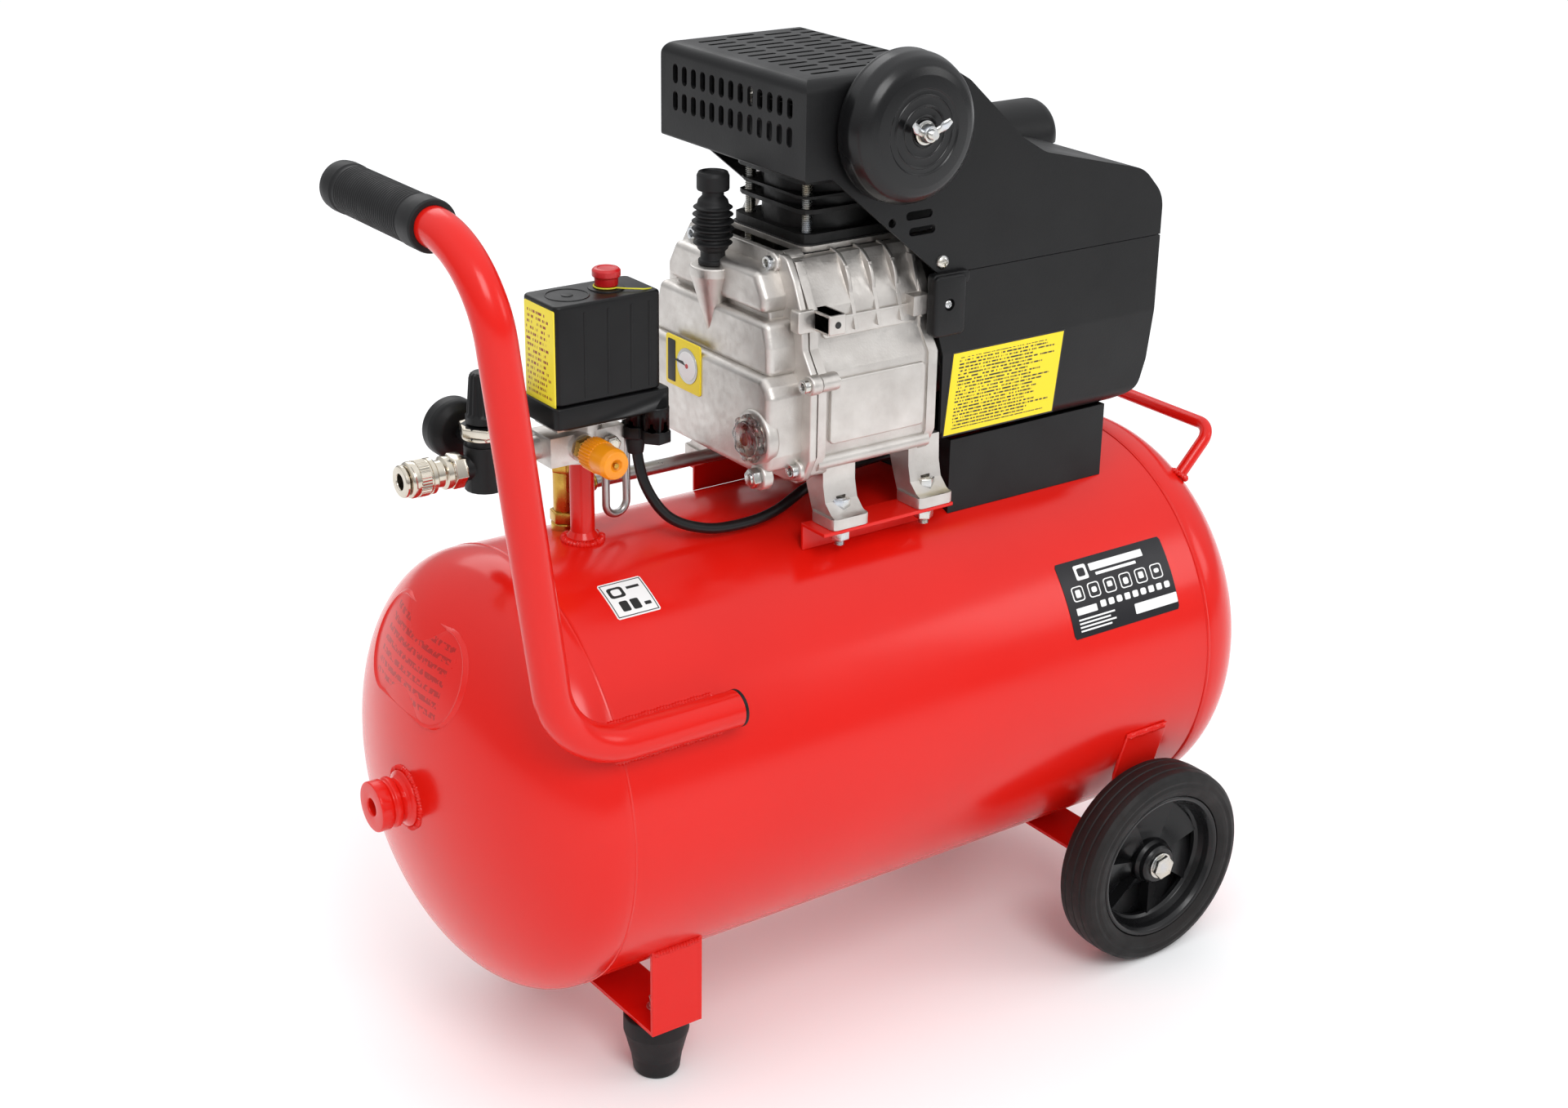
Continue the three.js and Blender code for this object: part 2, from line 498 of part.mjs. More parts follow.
function buildUpperShroud() {
  const { half, wall, seam, x0, x1 } = SHROUD;
  const lowerEdge = [[36, seam + FIT], [-58, 640]];
  const width = (d) => mirrored([[half - d, 540], [half - d, 694], [half - 6 - d, 703 - d], [half - 14 - d, 709 - d]]);
  const form = (d, edge) => slab('y', [...shroudSide(d), ...edge].reverse(), -half, half)
    .intersect(slab('x', width(d), -90, 260));
  const hump = (r, end) => join(bar('x', r, 150, end - 8, 58, 610, 14), bar('x', r - 6, 150, end, 58, 610, 14));
  const clip = join(slab('y', [...shroudSide(0), ...lowerEdge].reverse(), -half - 30, half + 30),
    box([140, 260], [20, 90], [580, 640]));
  let upper = join(form(0, lowerEdge), hump(27, 252).intersect(clip));
  upper = cut(upper, form(wall, [[x1 - wall, 540], [x0 + wall, 540]]), hump(24.5, 249));
  for (let i = 0; i < 13; i += 1) {
    const slot = [(i - 6) * 11.3 - 2.8, (i - 6) * 11.3 + 2.8];
    upper = cut(upper, box([x0 - 8, x0 + 4], slot, [677, 691]), box([x0 - 8, x0 + 4], slot, [657, 671]));
  }
  for (let column = 0; column < 3; column += 1) {
    for (let row = 0; row < 8; row += 1) {
      const x = -62 + column * 31;
      const y = (row - 3.5) * 16 + (column % 2) * 4;
      upper = cut(upper, box([x, x + 24], [y - 2, y + 2], [700, 712]));
    }
  }
  const oblong = (a, b, z) => slab('y', rounded(a, b, z - 2.5, z + 2.5, 2.4, 2), -half - 5, -half + 7);
  const neckHole = bar('y', 14, -half - 5, -half + 7, FILTER.x, 655, 14);
  const roundHole = bar('y', 3.2, -half - 5, -half + 7, -8, 603, 8);
  add('upper_shroud', cut(upper, neckHole, roundHole, oblong(2, 24, 606), oblong(4, 26, 595)), 'black');
}

function buildLowerShroud() {
  const { half, wall, seam, bottom, x1 } = SHROUD;
  const cross = (d) => mirrored([[68 - d, bottom + d], [78 - d, 434], [half - d, 500], [half - d, 620]]);
  const side = [[50.5, bottom], [222, bottom], [240, 440], [x1, 462], [x1, seam], [36, seam], [30, 528],
    [36, 520], [40, 500]];
  const room = [[20, bottom + wall], [222, bottom + wall], [240 - wall, 440], [x1 - wall, 462], [x1 - wall, 580],
    [20, 580]];
  let lower = slab('y', side, -half, half).intersect(slab('x', cross(0), 20, 260));
  lower = cut(lower, slab('y', room, -half, half).intersect(slab('x', cross(wall), 10, 260)),
    box([70, 214], [-60, 60], [bottom - 5, bottom + 6]));
  for (let i = 0; i < 6; i += 1) lower = cut(lower, box([240, 250], [-60, 60], [470 + 13 * i, 476 + 13 * i]));
  const lug = cut(box([26, 52], [-93, -86.2], [527, 559]), bar('y', 3, -95, -89, 36, 543, 8));
  add('lower_shroud', join(lower, lug), 'black');
  const skirt = cut(
    box([66, 218], [-71, 71], [362, bottom - FIT]),
    box([68.5, 215.5], [-68.5, 68.5], [350, 440]),
    bar('x', 4.8, 60, 72, -37, 413, 10),
    receiverCutter,
  );
  add('motor_skirt', skirt, 'black');
  const can = [[0, 158], [20, 158], [20, 236], [17, 238], [0, 238]];
  add('start_capacitor', turned('x', can, 58, 608, 14), 'black');
}

function buildFilter() {
  const { x, z, r, y0, y1 } = FILTER;
  const drum = [[0, y0 - 0.5], [r - 3, y0 - 0.5], [r, y0 - 3], [r, y1 + 9], [r - 3, y1 + 3], [r - 9, y1], [20, y1],
    [19, y1 + 1], [0, y1 + 1]];
  const room = bar('y', r - 3, y1 + 4, y0 - 4, x, z, 18);
  const neck = bar('y', 8.7, y0 - 2, -42, x, 655, 12);
  const air = bar('y', 6.5, y0 - 6, -41, x, 655, 10);
  const shell = cut(join(cut(turned('y', drum, x, z, 24), room), neck), air);
  add('air_filter_canister', join(shell, bar('y', 3, y1 - 11, y0 - 1, x, z, 8)), 'black');
  const wings = [[x - 15, z + 7], [x - 4, z - 4], [x + 4, z - 4], [x + 15, z + 7], [x + 12, z + 10], [x, z + 4],
    [x - 12, z + 10]];
  const nut = join(bar('y', 6.5, y1 - 8, y1 - FIT, x, z, 10), slab('y', wings, y1 - 9, y1 - 3.5));
  add('filter_wing_nut', cut(nut, bar('y', 3.3, y1 - 12, y1 + 2, x, z, 8)), 'zinc');
}

function buildSwitch() {
  const { x0, x1, y0, y1, z0, z1, split, wall } = SWITCH;
  const upright = (r, from, to, [x, y], sides) => bar('z', r, from, to, x, y, sides);
  const base = join(
    slab('z', rounded(x0 - 2, x1 + 6, y0 - 2, y1 + 2, 5), z0, split),
    upright(8, 462, z0 + 2, LEAD_GLAND, 12),
    upright(8, 462, z0 + 2, MAINS_GLAND, 12),
  );
  add('switch_base', cut(
    base,
    box([x0 + 4, x1 - 4], [y0 + 4, y1 - 4], [z0 + 3, split + 5]),
    upright(4.9, 455, z0 + 5, LEAD_GLAND, 10),
    upright(4.2, 455, z0 + 1, MAINS_GLAND, 10),
    upright(6, z0 - 4, z0 + 6, [PIPE.x, 0], 10),
  ), 'black');
  add('switch_cover', cut(
    slab('z', rounded(x0, x1, y0, y1, 5), split + FIT, z1),
    slab('z', rounded(x0 + wall, x1 - wall, y0 + wall, y1 - wall, 3), z0, z1 - wall),
    upright(7, 540, 580, SWITCH_KNOB, 12),
  ), 'black');
  const knob = [[0, 545], [6.3, 545], [6.3, 569], [7.5, 570.5], [8, 574], [9.6, 575], [9.6, 579], [8, 581], [0, 581.5]];
  add('switch_knob', turned('z', knob, ...SWITCH_KNOB, 14), 'redPlastic');
}

function buildManifold() {
  const { x, y } = PIPE;
  const collar = turned('z', [[0, 380], [15, 380], [13, 388], [9, 392], [0, 392]], x, y, 20);
  const pipe = join(bar('z', PIPE.r, 376, 445.7, x, y, 14), cut(collar, receiverForm(FIT)));
  add('stand_pipe', cut(pipe, bar('z', 6, 370, 450, x, y, 10)), 'red');
  const block = join(
    box([-236, -178], [-14, 14], [449, 470]),
    hexBar('z', 14.5, 446, 460, x, 0),
    bar('z', 14.6, 462, 483.7, x, 0, 14),
    bar('x', 8.4, -243, -230, REG.y, 459, 12),
    bar('y', 10, -19, -10, ...VALVE, 12),
    box([-234, -180], [-20, 10], [476, 483.7]),
  );
  add('manifold', cut(block, bar('z', 6, 440, 490, x, 0, 10), bar('x', 5, -246, x, REG.y, 459, 10),
    bar('y', 4, -22, 3, ...VALVE, 10)), 'cast');
  const nose = turned('y', [[0, -40], [5, -40], [6.6, -34], [6.6, -25], [0, -25]], ...VALVE, 12);
  const valve = join(hexBar('y', 8.5, -26, -19.3, ...VALVE), nose);
  add('safety_valve', cut(valve, bar('y', 2.5, -36, -15, ...VALVE, 8)), 'brass');
  const cap = [[0, -27], [9, -27], [9.3, -40], [11, -42], [11, -58], [9.5, -61], [0, -61]];
  const capRoom = [[0, -20], [7.1, -20], [7.1, -37], [5.6, -46], [0, -46]];
  add('safety_valve_cap', cut(turned('y', cap, ...VALVE, 14), turned('y', capRoom, ...VALVE, 12)), 'amber');
}

function buildTubes() {
  const { x, y, r, port } = CHECK;
  const valve = join(
    bar('z', 8, 376, 390, x, y, 12),
    hexBar('z', r + 1, 388.6, 398, x, y),
    bar('z', r - 1.5, 397, 428, x, y, 12),
    hexBar('z', r, 428, 436, x, y),
    bar('x', 7.5, x, x + 16, y, port, 12),
  );
  const seat = receiverForm(0.2).intersect(box([x - 30, x + 30], [y - 30, y + 30], [386, 400]));
  add('check_valve', cut(valve, seat, bar('z', 4.5, 370, 420, x, y, 10), bar('x', 5.4, x + 4, x + 20, y, port, 10)),
    'brass');
  const delivery = [v3(x + 6, y, port), v3(-3, y, port), v3(-3, 112, port - 2), v3(-3, 112, 540), v3(-3, 74, 600),
    v3(-3, 74, 652), v3(-3, 40, 652)];
  add('delivery_tube', tube(bentPath(delivery, 15, 3), 5, 8, 34), 'zinc');
  const loop = [v3(-168, 0, 483.5), v3(-168, 0, 400), v3(-186, -2, 400), v3(-186, -2, 448.5)];
  add('unloader_tube', tube(bentPath(loop, 5, 3), 2.8, 6, 22), 'zinc');
}

function buildRegulator() {
  const { x, y, r, z0, z1, inlet } = REG;
  const body = join(
    bar('z', r, z0, z1 - 8, x, y, 18),
    bar('z', r - 2, z1 - 10, z1, x, y, 14),
    hexBar('z', r + 1.5, z1 - 2, z1 + 6, x, y),
    bar('x', 8, x, -243 - FIT, y, inlet, 12),
    bar('y', 5, y, GAUGE.y - FIT, x, GAUGE.z, 10),
    bar('x', 8.6, x - 17, x, y, COUPLER_Z, 12),
  );
  add('regulator_body', cut(body, bar('x', 4.5, x, -240, y, inlet, 8), bar('x', 4.5, x - 20, x, y, COUPLER_Z, 8),
    bar('z', 5, z1 - 4, z1 + 8, x, y, 10)), 'black');
  const knob = [[0, z1 - 3], [4.5, z1 - 3], [4.5, z1 + 6.5], [12, z1 + 6.5], [12, z1 + 12], [9.5, z1 + 15],
    [8, z1 + 40], [7, z1 + 42], [0, z1 + 42]];
  add('regulator_knob', turned('z', knob, x, y, 14), 'black');
}

function buildGauge() {
  const { x } = REG;
  const { y, z } = GAUGE;
  const bowl = [[0, y], [14, y], [20, y + 4], [21, y + 8], [21, y + 17], [20, y + 18], [0, y + 18]];
  const gauge = cut(turned('y', bowl, x, z, 24), bar('y', 18.5, y + 12, y + 20, x, z, 20));
  add('pressure_gauge', join(gauge, bar('y', 1.2, y + 11, y + 13.5, x, z, 8)), 'black');
  const pointer = slab('y', [[x - 4.6, 472], [x - 3.6, 473], [x + 10, 458.6], [x + 9.4, 458]].reverse(), y + 13, y + 14);
  const needle = join(pointer, bar('y', 2.6, y + 13, y + 14.2, x, z, 10));
  add('gauge_needle', cut(needle, bar('y', 1.5, y + 12, y + 15, x, z, 8)), 'redPlastic');
}

function buildCoupler() {
  const c = REG.x - 17 - FIT;
  const along = (r, from, to, sides) => bar('x', r, c + from, c + to, REG.y, COUPLER_Z, sides);
  const body = join(along(10.5, -16, 0, 14), hexBar('x', 12, c - 9, c, REG.y, COUPLER_Z), along(9, -44, -15, 14),
    along(11, -46, -42, 14));
  add('quick_coupler', cut(body, along(5.5, -50, -12, 12), along(3.5, -20, 2, 10)), 'nickel');
  const sleeve = [[9 + FIT, c - 41.6], [11.5, c - 41.6], [12.5, c - 39], [12.5, c - 24], [11.5, c - 22],
    [9 + FIT, c - 22], [9 + FIT, c - 41.6]];
  add('coupler_sleeve', turned('x', sleeve, REG.y, COUPLER_Z, 18), 'nickel');
}

function buildLeadAndDrain() {
  const [gx, gy] = LEAD_GLAND;
  const lead = [v3(gx, gy, 480), v3(gx, gy, 468), v3(gx, gy - 0.5, 455), v3(-166, -22, 425), v3(-153, -32, 402),
    v3(-128, -40, 391), v3(-98, -43, 389), v3(-70, -42, 392), v3(-40, -38, 402), v3(-10, -34, 408),
    v3(20, -34.5, 411), v3(46, -36.5, 412.5), v3(62, -37, 413), v3(78, -37, 413)];
  add('motor_lead', tube(new THREE.CatmullRomCurve3(lead, false, 'centripetal'), 3.8, 8, 30), 'rubber');
  const { x } = DRAIN;
  const cock = join(bar('z', 4.2, 56, 72, x, 0, 10), hexBar('z', 8.5, 57, 65.5, x, 0), bar('z', 6, 46, 58, x, 0, 10),
    box([x - 10, x + 10], [-1.6, 1.6], [40, 48]));
  add('drain_cock', cut(cock, bar('z', 2, 44, 75, x, 0, 8)), 'brass');
}

buildReceiver();
buildFeet();
buildWheels();
buildHandles();
buildRails();
buildCrankcase();
buildCover();
buildCylinder();
buildRunningGear();
buildMotor();
buildUpperShroud();
buildLowerShroud();
buildFilter();
buildSwitch();
buildManifold();
buildTubes();
buildRegulator();
buildGauge();
buildCoupler();
buildLeadAndDrain();

const compressor = new THREE.Group();
compressor.add(assembly);
export default compressor;
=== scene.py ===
"""Looks of a portable piston air compressor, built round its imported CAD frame.

Every surface is worked out in drawing millimetres, whose X zero is on the pump's own axis, and is put
into Blender in metres in the row frame. Each sub-assembly is a class with its sizes as fields.
"""

from __future__ import annotations

import json
import logging
import math
from dataclasses import dataclass, field
from enum import Enum
from typing import Iterable, Sequence

import bpy
import bmesh
import numpy as np
from mathutils import Matrix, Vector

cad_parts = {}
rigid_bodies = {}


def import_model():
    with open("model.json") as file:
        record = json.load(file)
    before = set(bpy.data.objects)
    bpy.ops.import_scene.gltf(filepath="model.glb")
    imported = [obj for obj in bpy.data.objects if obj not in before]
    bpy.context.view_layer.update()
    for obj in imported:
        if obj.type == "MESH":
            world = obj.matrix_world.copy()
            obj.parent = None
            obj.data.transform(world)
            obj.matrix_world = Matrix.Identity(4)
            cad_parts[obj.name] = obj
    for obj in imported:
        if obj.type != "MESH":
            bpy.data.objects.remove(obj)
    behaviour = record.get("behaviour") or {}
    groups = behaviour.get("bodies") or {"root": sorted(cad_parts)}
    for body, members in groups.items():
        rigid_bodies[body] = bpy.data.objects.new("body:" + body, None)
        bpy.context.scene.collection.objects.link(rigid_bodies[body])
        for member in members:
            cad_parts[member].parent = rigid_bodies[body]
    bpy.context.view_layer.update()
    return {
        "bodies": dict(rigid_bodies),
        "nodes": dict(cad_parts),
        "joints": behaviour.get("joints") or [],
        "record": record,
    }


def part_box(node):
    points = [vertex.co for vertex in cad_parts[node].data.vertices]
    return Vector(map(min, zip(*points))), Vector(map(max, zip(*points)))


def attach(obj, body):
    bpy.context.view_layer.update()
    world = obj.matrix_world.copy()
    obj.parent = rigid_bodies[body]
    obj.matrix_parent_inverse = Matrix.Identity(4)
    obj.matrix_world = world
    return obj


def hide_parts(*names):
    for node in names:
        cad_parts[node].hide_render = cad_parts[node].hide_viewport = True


LOG = logging.getLogger("compressor")

DRAWING_SHIFT = 13.0  # mm along X from the drawing's zero to the row frame's
METRES = 0.001
WELD = 1e-6  # m, points closer than this are one point

Array = np.ndarray
Point = tuple[float, float, float]


class Axis(Enum):
    """An axis of the drawing, and the order of the other two round it."""

    X = (0, 1, 2)
    Y = (1, 2, 0)
    Z = (2, 0, 1)


# ---- surfaces -----------------------------------------------------------------------------------
@dataclass
class Shape:
    """Points in drawing millimetres and the faces between them."""

    points: Array
    faces: list[tuple[int, ...]]
    uv: Array | None = None

    def __add__(self, other: "Shape") -> "Shape":
        """Both shapes as one, each keeping its own points."""
        shift = len(self.points)
        moved = [tuple(i + shift for i in face) for face in other.faces]
        return Shape(np.vstack([self.points, other.points]), self.faces + moved)

    def turned(self, axis: Axis, degrees: float, centre: Sequence[float]) -> "Shape":
        """The shape turned round an axis through centre.

        Args:
            axis: the axis it turns round.
            degrees: how far, anticlockwise seen from the axis's far end.
            centre: a point on that axis, mm.

        Returns:
            A new shape.
        """
        vector = [0.0, 0.0, 0.0]
        vector[axis.value[0]] = 1.0
        matrix = np.array(Matrix.Rotation(math.radians(degrees), 3, vector))
        return Shape((self.points - centre) @ matrix.T + centre, self.faces, self.uv)

    def moved(self, x: float = 0.0, y: float = 0.0, z: float = 0.0) -> "Shape":
        """The shape moved by x, y, z millimetres."""
        return Shape(self.points + np.array([x, y, z]), self.faces, self.uv)

    def mirrored_y(self) -> "Shape":
        """The shape mirrored to the other side of the machine."""
        return Shape(self.points * [1, -1, 1], [face[::-1] for face in self.faces], self.uv)


def together(shapes: Iterable[Shape]) -> Shape:
    """Several shapes as one."""
    whole = None
    for shape in shapes:
        whole = shape if whole is None else whole + shape
    return whole


def grid_faces(rows: int, columns: int, wrap_rows: bool, wrap_columns: bool) -> list[tuple[int, ...]]:
    """Quads between neighbouring points of a rows by columns grid.

    Args:
        rows: how many rows of points.
        columns: how many points in a row.
        wrap_rows: whether the last row joins the first.
        wrap_columns: whether each row's last point joins its first.

    Returns:
        The quads as index tuples.
    """
    row, column = np.meshgrid(
        np.arange(rows if wrap_rows else rows - 1),
        np.arange(columns if wrap_columns else columns - 1),
        indexing="ij",
    )
    right = (column + 1) % columns
    below = (row + 1) % rows
    quads = np.stack(
        [row * columns + column, row * columns + right, below * columns + right, below * columns + column],
        axis=-1,
    )
    return [tuple(q) for q in quads.reshape(-1, 4).tolist()]


def fillet(points: Sequence[Sequence[float]], radius: float | Sequence[float], steps: int = 6,
           closed: bool = False) -> Array:
    """Rounds the corners of a line in two or three dimensions.

    An arc of the given radius touches both sides of a corner: its centre is on the bisector, and it is
    shortened where a side is too short for it.

    Args:
        points: the corners.
        radius: one radius, or one for each corner.
        steps: points in each arc, less one.
        closed: whether the last corner joins the first.

    Returns:
        The rounded line.
    """
    corners = np.asarray(points, float)
    count = len(corners)
    radii = np.broadcast_to(np.asarray(radius, float), (count,))
    line: list[Array] = []
    for i, corner in enumerate(corners):
        if not closed and i in (0, count - 1) or radii[i] <= 0:
            line.append(corner[None])
            continue
        before = corners[i - 1] - corner
        after = corners[(i + 1) % count] - corner
        room = 0.499 * min(np.linalg.norm(before), np.linalg.norm(after))
        before, after = before / np.linalg.norm(before), after / np.linalg.norm(after)
        half = math.acos(float(np.clip(before @ after, -1, 1))) / 2
        if half > math.pi / 2 - 0.02:
            line.append(corner[None])
            continue
        reach = min(radii[i] / math.tan(half), room)
        r = reach * math.tan(half)
        bisector = (before + after) / np.linalg.norm(before + after)
        centre = corner + bisector * r / math.sin(half)
        a, b = corner + before * reach - centre, corner + after * reach - centre
        turn = math.pi - 2 * half
        t = np.linspace(0, 1, steps + 1)[:, None]
        line.append(centre + (np.sin((1 - t) * turn) * a + np.sin(t * turn) * b) / math.sin(turn))
    return np.vstack(line)


def revolve(axis: Axis, profile: Sequence[Sequence[float]], centre: Sequence[float] = (0.0, 0.0),
            sides: int = 72) -> Shape:
    """Turns a profile once round an axis: a point (r, h) goes round at radius r, h along the axis.

    Args:
        axis: the axis.
        profile: (radius, place along the axis) points; closed where the last repeats the first.
        centre: the axis's place in the other two coordinates, in the drawing's order.
        sides: points round the axis.

    Returns:
        The surface of revolution.
    """
    line = np.asarray(profile, float)
    closed = bool(np.allclose(line[0], line[-1]))
    if closed:
        line = line[:-1]
    along, first, second = axis.value
    if first > second:
        first, second = second, first
    angle = np.linspace(0, 2 * math.pi, sides, endpoint=False)
    points = np.zeros((len(line), sides, 3))
    points[..., along] = line[:, 1][:, None]
    points[..., first] = centre[0] + line[:, 0][:, None] * np.cos(angle)
    points[..., second] = centre[1] + line[:, 0][:, None] * np.sin(angle)
    return Shape(points.reshape(-1, 3), grid_faces(len(line), sides, closed, True))


def inset(outline: Array, amount: float) -> Array:
    """Moves each point of a closed outline inwards along the bisector of its two sides."""
    ahead = np.roll(outline, -1, 0) - outline
    ahead /= np.maximum(np.linalg.norm(ahead, axis=1), 1e-9)[:, None]
    normal = np.stack([ahead[:, 1], -ahead[:, 0]], 1)
    behind = np.roll(normal, 1, 0)
    scale = 1 + (normal * behind).sum(1)
    bisector = (normal + behind) / np.maximum(scale, 0.3)[:, None]
    x, y = outline[:, 0], outline[:, 1]
    area = 0.5 * float((x * np.roll(y, -1) - np.roll(x, -1) * y).sum())
    return outline - bisector * amount * math.copysign(1.0, area)


def slab(axis: Axis, outline: Sequence[Sequence[float]], low: float, high: float, edge: float = 0.0,
         steps: int = 3) -> Shape:
    """A plate of an outline, its two rims rounded.

    Each rim is a quarter circle: as the outline goes out by edge * sin t, the plate goes edge * cos t in.

    Args:
        axis: the direction of its thickness.
        outline: its closed outline in the other two coordinates, in the drawing's order.
        low: its lower face, mm along the axis.
        high: its upper face.
        edge: the radius of its rims.
        steps: rings in each rim.

    Returns:
        The closed plate.
    """
    flat = np.asarray(outline, float)
    t = np.linspace(0, math.pi / 2, steps + 1) if edge > 0 else np.array([math.pi / 2])
    depth, rise = edge * (1 - np.sin(t)), edge * (1 - np.cos(t))
    levels = [(low + r, d) for r, d in zip(rise, depth)]
    levels += [(high - r, d) for r, d in zip(rise[::-1], depth[::-1])]
    along = axis.value[0]
    others = [i for i in range(3) if i != along]
    rings = np.zeros((len(levels), len(flat), 3))
    for ring, (level, amount) in zip(rings, levels):
        ring[:, along] = level
        ring[:, others] = inset(flat, amount) if amount > 0 else flat
    count = len(flat)
    faces = grid_faces(len(levels), count, False, True)
    faces.append(tuple(range(count))[::-1])
    faces.append(tuple(range((len(levels) - 1) * count, len(levels) * count)))
    return Shape(rings.reshape(-1, 3), faces)


def rectangle(a0: float, a1: float, b0: float, b1: float, corner: float, steps: int = 5) -> Array:
    """The outline of a rectangle with round corners."""
    return fillet([(a0, b0), (a1, b0), (a1, b1), (a0, b1)], corner, steps, closed=True)


def block(x: tuple[float, float], y: tuple[float, float], z: tuple[float, float], corner: float = 1.0,
          edge: float = 0.5, axis: Axis = Axis.Z) -> Shape:
    """A box with round corners seen along axis, and round rims."""
    spans = [x, y, z]
    (a0, a1), (b0, b1) = [s for i, s in enumerate(spans) if i != axis.value[0]]
    return slab(axis, rectangle(a0, a1, b0, b1, corner), *spans[axis.value[0]], edge)


def rod(axis: Axis, radius: float, low: float, high: float, centre: Sequence[float], edge: float = 0.4,
        sides: int = 40) -> Shape:
    """A round bar with slightly round rims."""
    profile = [(0, low), (radius, low), (radius, high), (0, high)]
    return revolve(axis, fillet(profile, edge, 3), centre, sides)


def hexagon(axis: Axis, flats: float, low: float, high: float, centre: Sequence[float], turn: float = 0.0,
            edge: float = 0.5) -> Shape:
    """A hexagonal bar, flats being the distance over its flats, with chamfered corners."""
    angle = np.radians(turn) + np.arange(6) * math.pi / 3
    r = flats / math.sqrt(3)
    outline = np.stack([centre[0] + r * np.cos(angle), centre[1] + r * np.sin(angle)], 1)
    return slab(axis, fillet(outline, 0.5, 2, closed=True), low, high, edge)


def frames_along(path: Array) -> tuple[Array, Array]:
    """Two directions across a path at each of its points, carried along with the least turning."""
    tangent = np.gradient(path, axis=0)
    tangent /= np.linalg.norm(tangent, axis=1)[:, None]
    start = np.eye(3)[np.argmin(np.abs(tangent[0]))]
    side = np.zeros_like(path)
    side[0] = np.cross(tangent[0], start)
    side[0] /= np.linalg.norm(side[0])
    for i in range(1, len(path)):
        kept = side[i - 1] - tangent[i] * (side[i - 1] @ tangent[i])
        side[i] = kept / np.linalg.norm(kept)
    return side, np.cross(tangent, side)


def sweep(path: Array, radius: float | Array, sides: int = 24, squash: float = 1.0) -> Shape:
    """A round bar along a path: rings of the radius at each point, closed flat at both ends.

    Args:
        path: the points it follows, mm.
        radius: one radius, or one for each point.
        sides: points round it.
        squash: its second half-width over its first.

    Returns:
        The closed bar.
    """
    side, up = frames_along(path)
    radii = np.broadcast_to(np.asarray(radius, float), (len(path),))[:, None, None]
    angle = np.linspace(0, 2 * math.pi, sides, endpoint=False)[None, :, None]
    rings = path[:, None] + radii * (np.cos(angle) * side[:, None] + squash * np.sin(angle) * up[:, None])
    faces = grid_faces(len(path), sides, False, True)
    faces.append(tuple(range(sides))[::-1])
    faces.append(tuple(range((len(path) - 1) * sides, len(path) * sides)))
    return Shape(rings.reshape(-1, 3), faces)


def bend(corners: Sequence[Point], radius: float | Sequence[float], steps: int = 14,
         spacing: float = 8.0) -> Array:
    """A bent bar's centreline: straight runs, with a point every spacing mm, between arcs."""
    line = fillet(corners, radius, steps)
    run = [line[:1]]
    for start, end in zip(line[:-1], line[1:]):
        count = max(1, int(np.linalg.norm(end - start) // spacing))
        run.append(start + (end - start) * np.linspace(0, 1, count + 1)[1:, None])
    return np.vstack(run)


def spline(points: Sequence[Point], steps: int = 10) -> Array:
    """A centripetal Catmull-Rom curve through points.

    Between two points the curve blends the two parabolas through them and their neighbours, timed by
    the square root of the distance between points.
    """
    given = np.asarray(points, float)
    padded = np.vstack([2 * given[0] - given[1], given, 2 * given[-1] - given[-2]])
    line = [given[:1]]
    for a, b, c, d in zip(padded[:-3], padded[1:-2], padded[2:-1], padded[3:]):
        knots = np.cumsum([0.0] + [math.sqrt(np.linalg.norm(q - p)) for p, q in ((a, b), (b, c), (c, d))])
        t = np.linspace(knots[1], knots[2], steps + 1)[1:, None]

        def between(p: Array, q: Array, i: int, j: int) -> Array:
            """The straight blend from p at knot i to q at knot j."""
            return (p * (knots[j] - t) + q * (t - knots[i])) / (knots[j] - knots[i])

        ab, bc, cd = between(a, b, 0, 1), between(b, c, 1, 2), between(c, d, 2, 3)
        line.append(between(between(ab, bc, 0, 2), between(bc, cd, 1, 3), 1, 2))
    return np.vstack(line)


def bead(path: Array, radius: float, ripple: float = 0.18, pitch: float = 2.4) -> Shape:
    """A weld bead: a bar along a path whose radius swells and falls with the welder's steps."""
    fine = [path[:1]]
    for start, end in zip(path[:-1], path[1:]):
        count = max(1, int(np.linalg.norm(end - start) / (pitch / 4)))
        fine.append(start + (end - start) * np.linspace(0, 1, count + 1)[1:, None])
    line = np.vstack(fine)
    walked = np.concatenate([[0.0], np.cumsum(np.linalg.norm(np.diff(line, axis=0), axis=1))])
    wave = np.sin(2 * math.pi * walked / pitch) + 0.6 * np.sin(2 * math.pi * walked / (pitch * 5.3))
    ends = np.clip(np.minimum(walked, walked[-1] - walked) / (radius * 1.5), 0.05, 1) ** 0.5
    return sweep(line, radius * (1 + ripple * wave) * ends, 10)


# ---- finishes -----------------------------------------------------------------------------------
def linear(value: str, alpha: float = 1.0) -> tuple[float, float, float, float]:
    """The linear colour of an sRGB hex value such as "#c8141a"."""
    channels = [int(value[i:i + 2], 16) / 255 for i in (1, 3, 5)]
    red, green, blue = [c / 12.92 if c <= 0.04045 else ((c + 0.055) / 1.055) ** 2.4 for c in channels]
    return red, green, blue, alpha


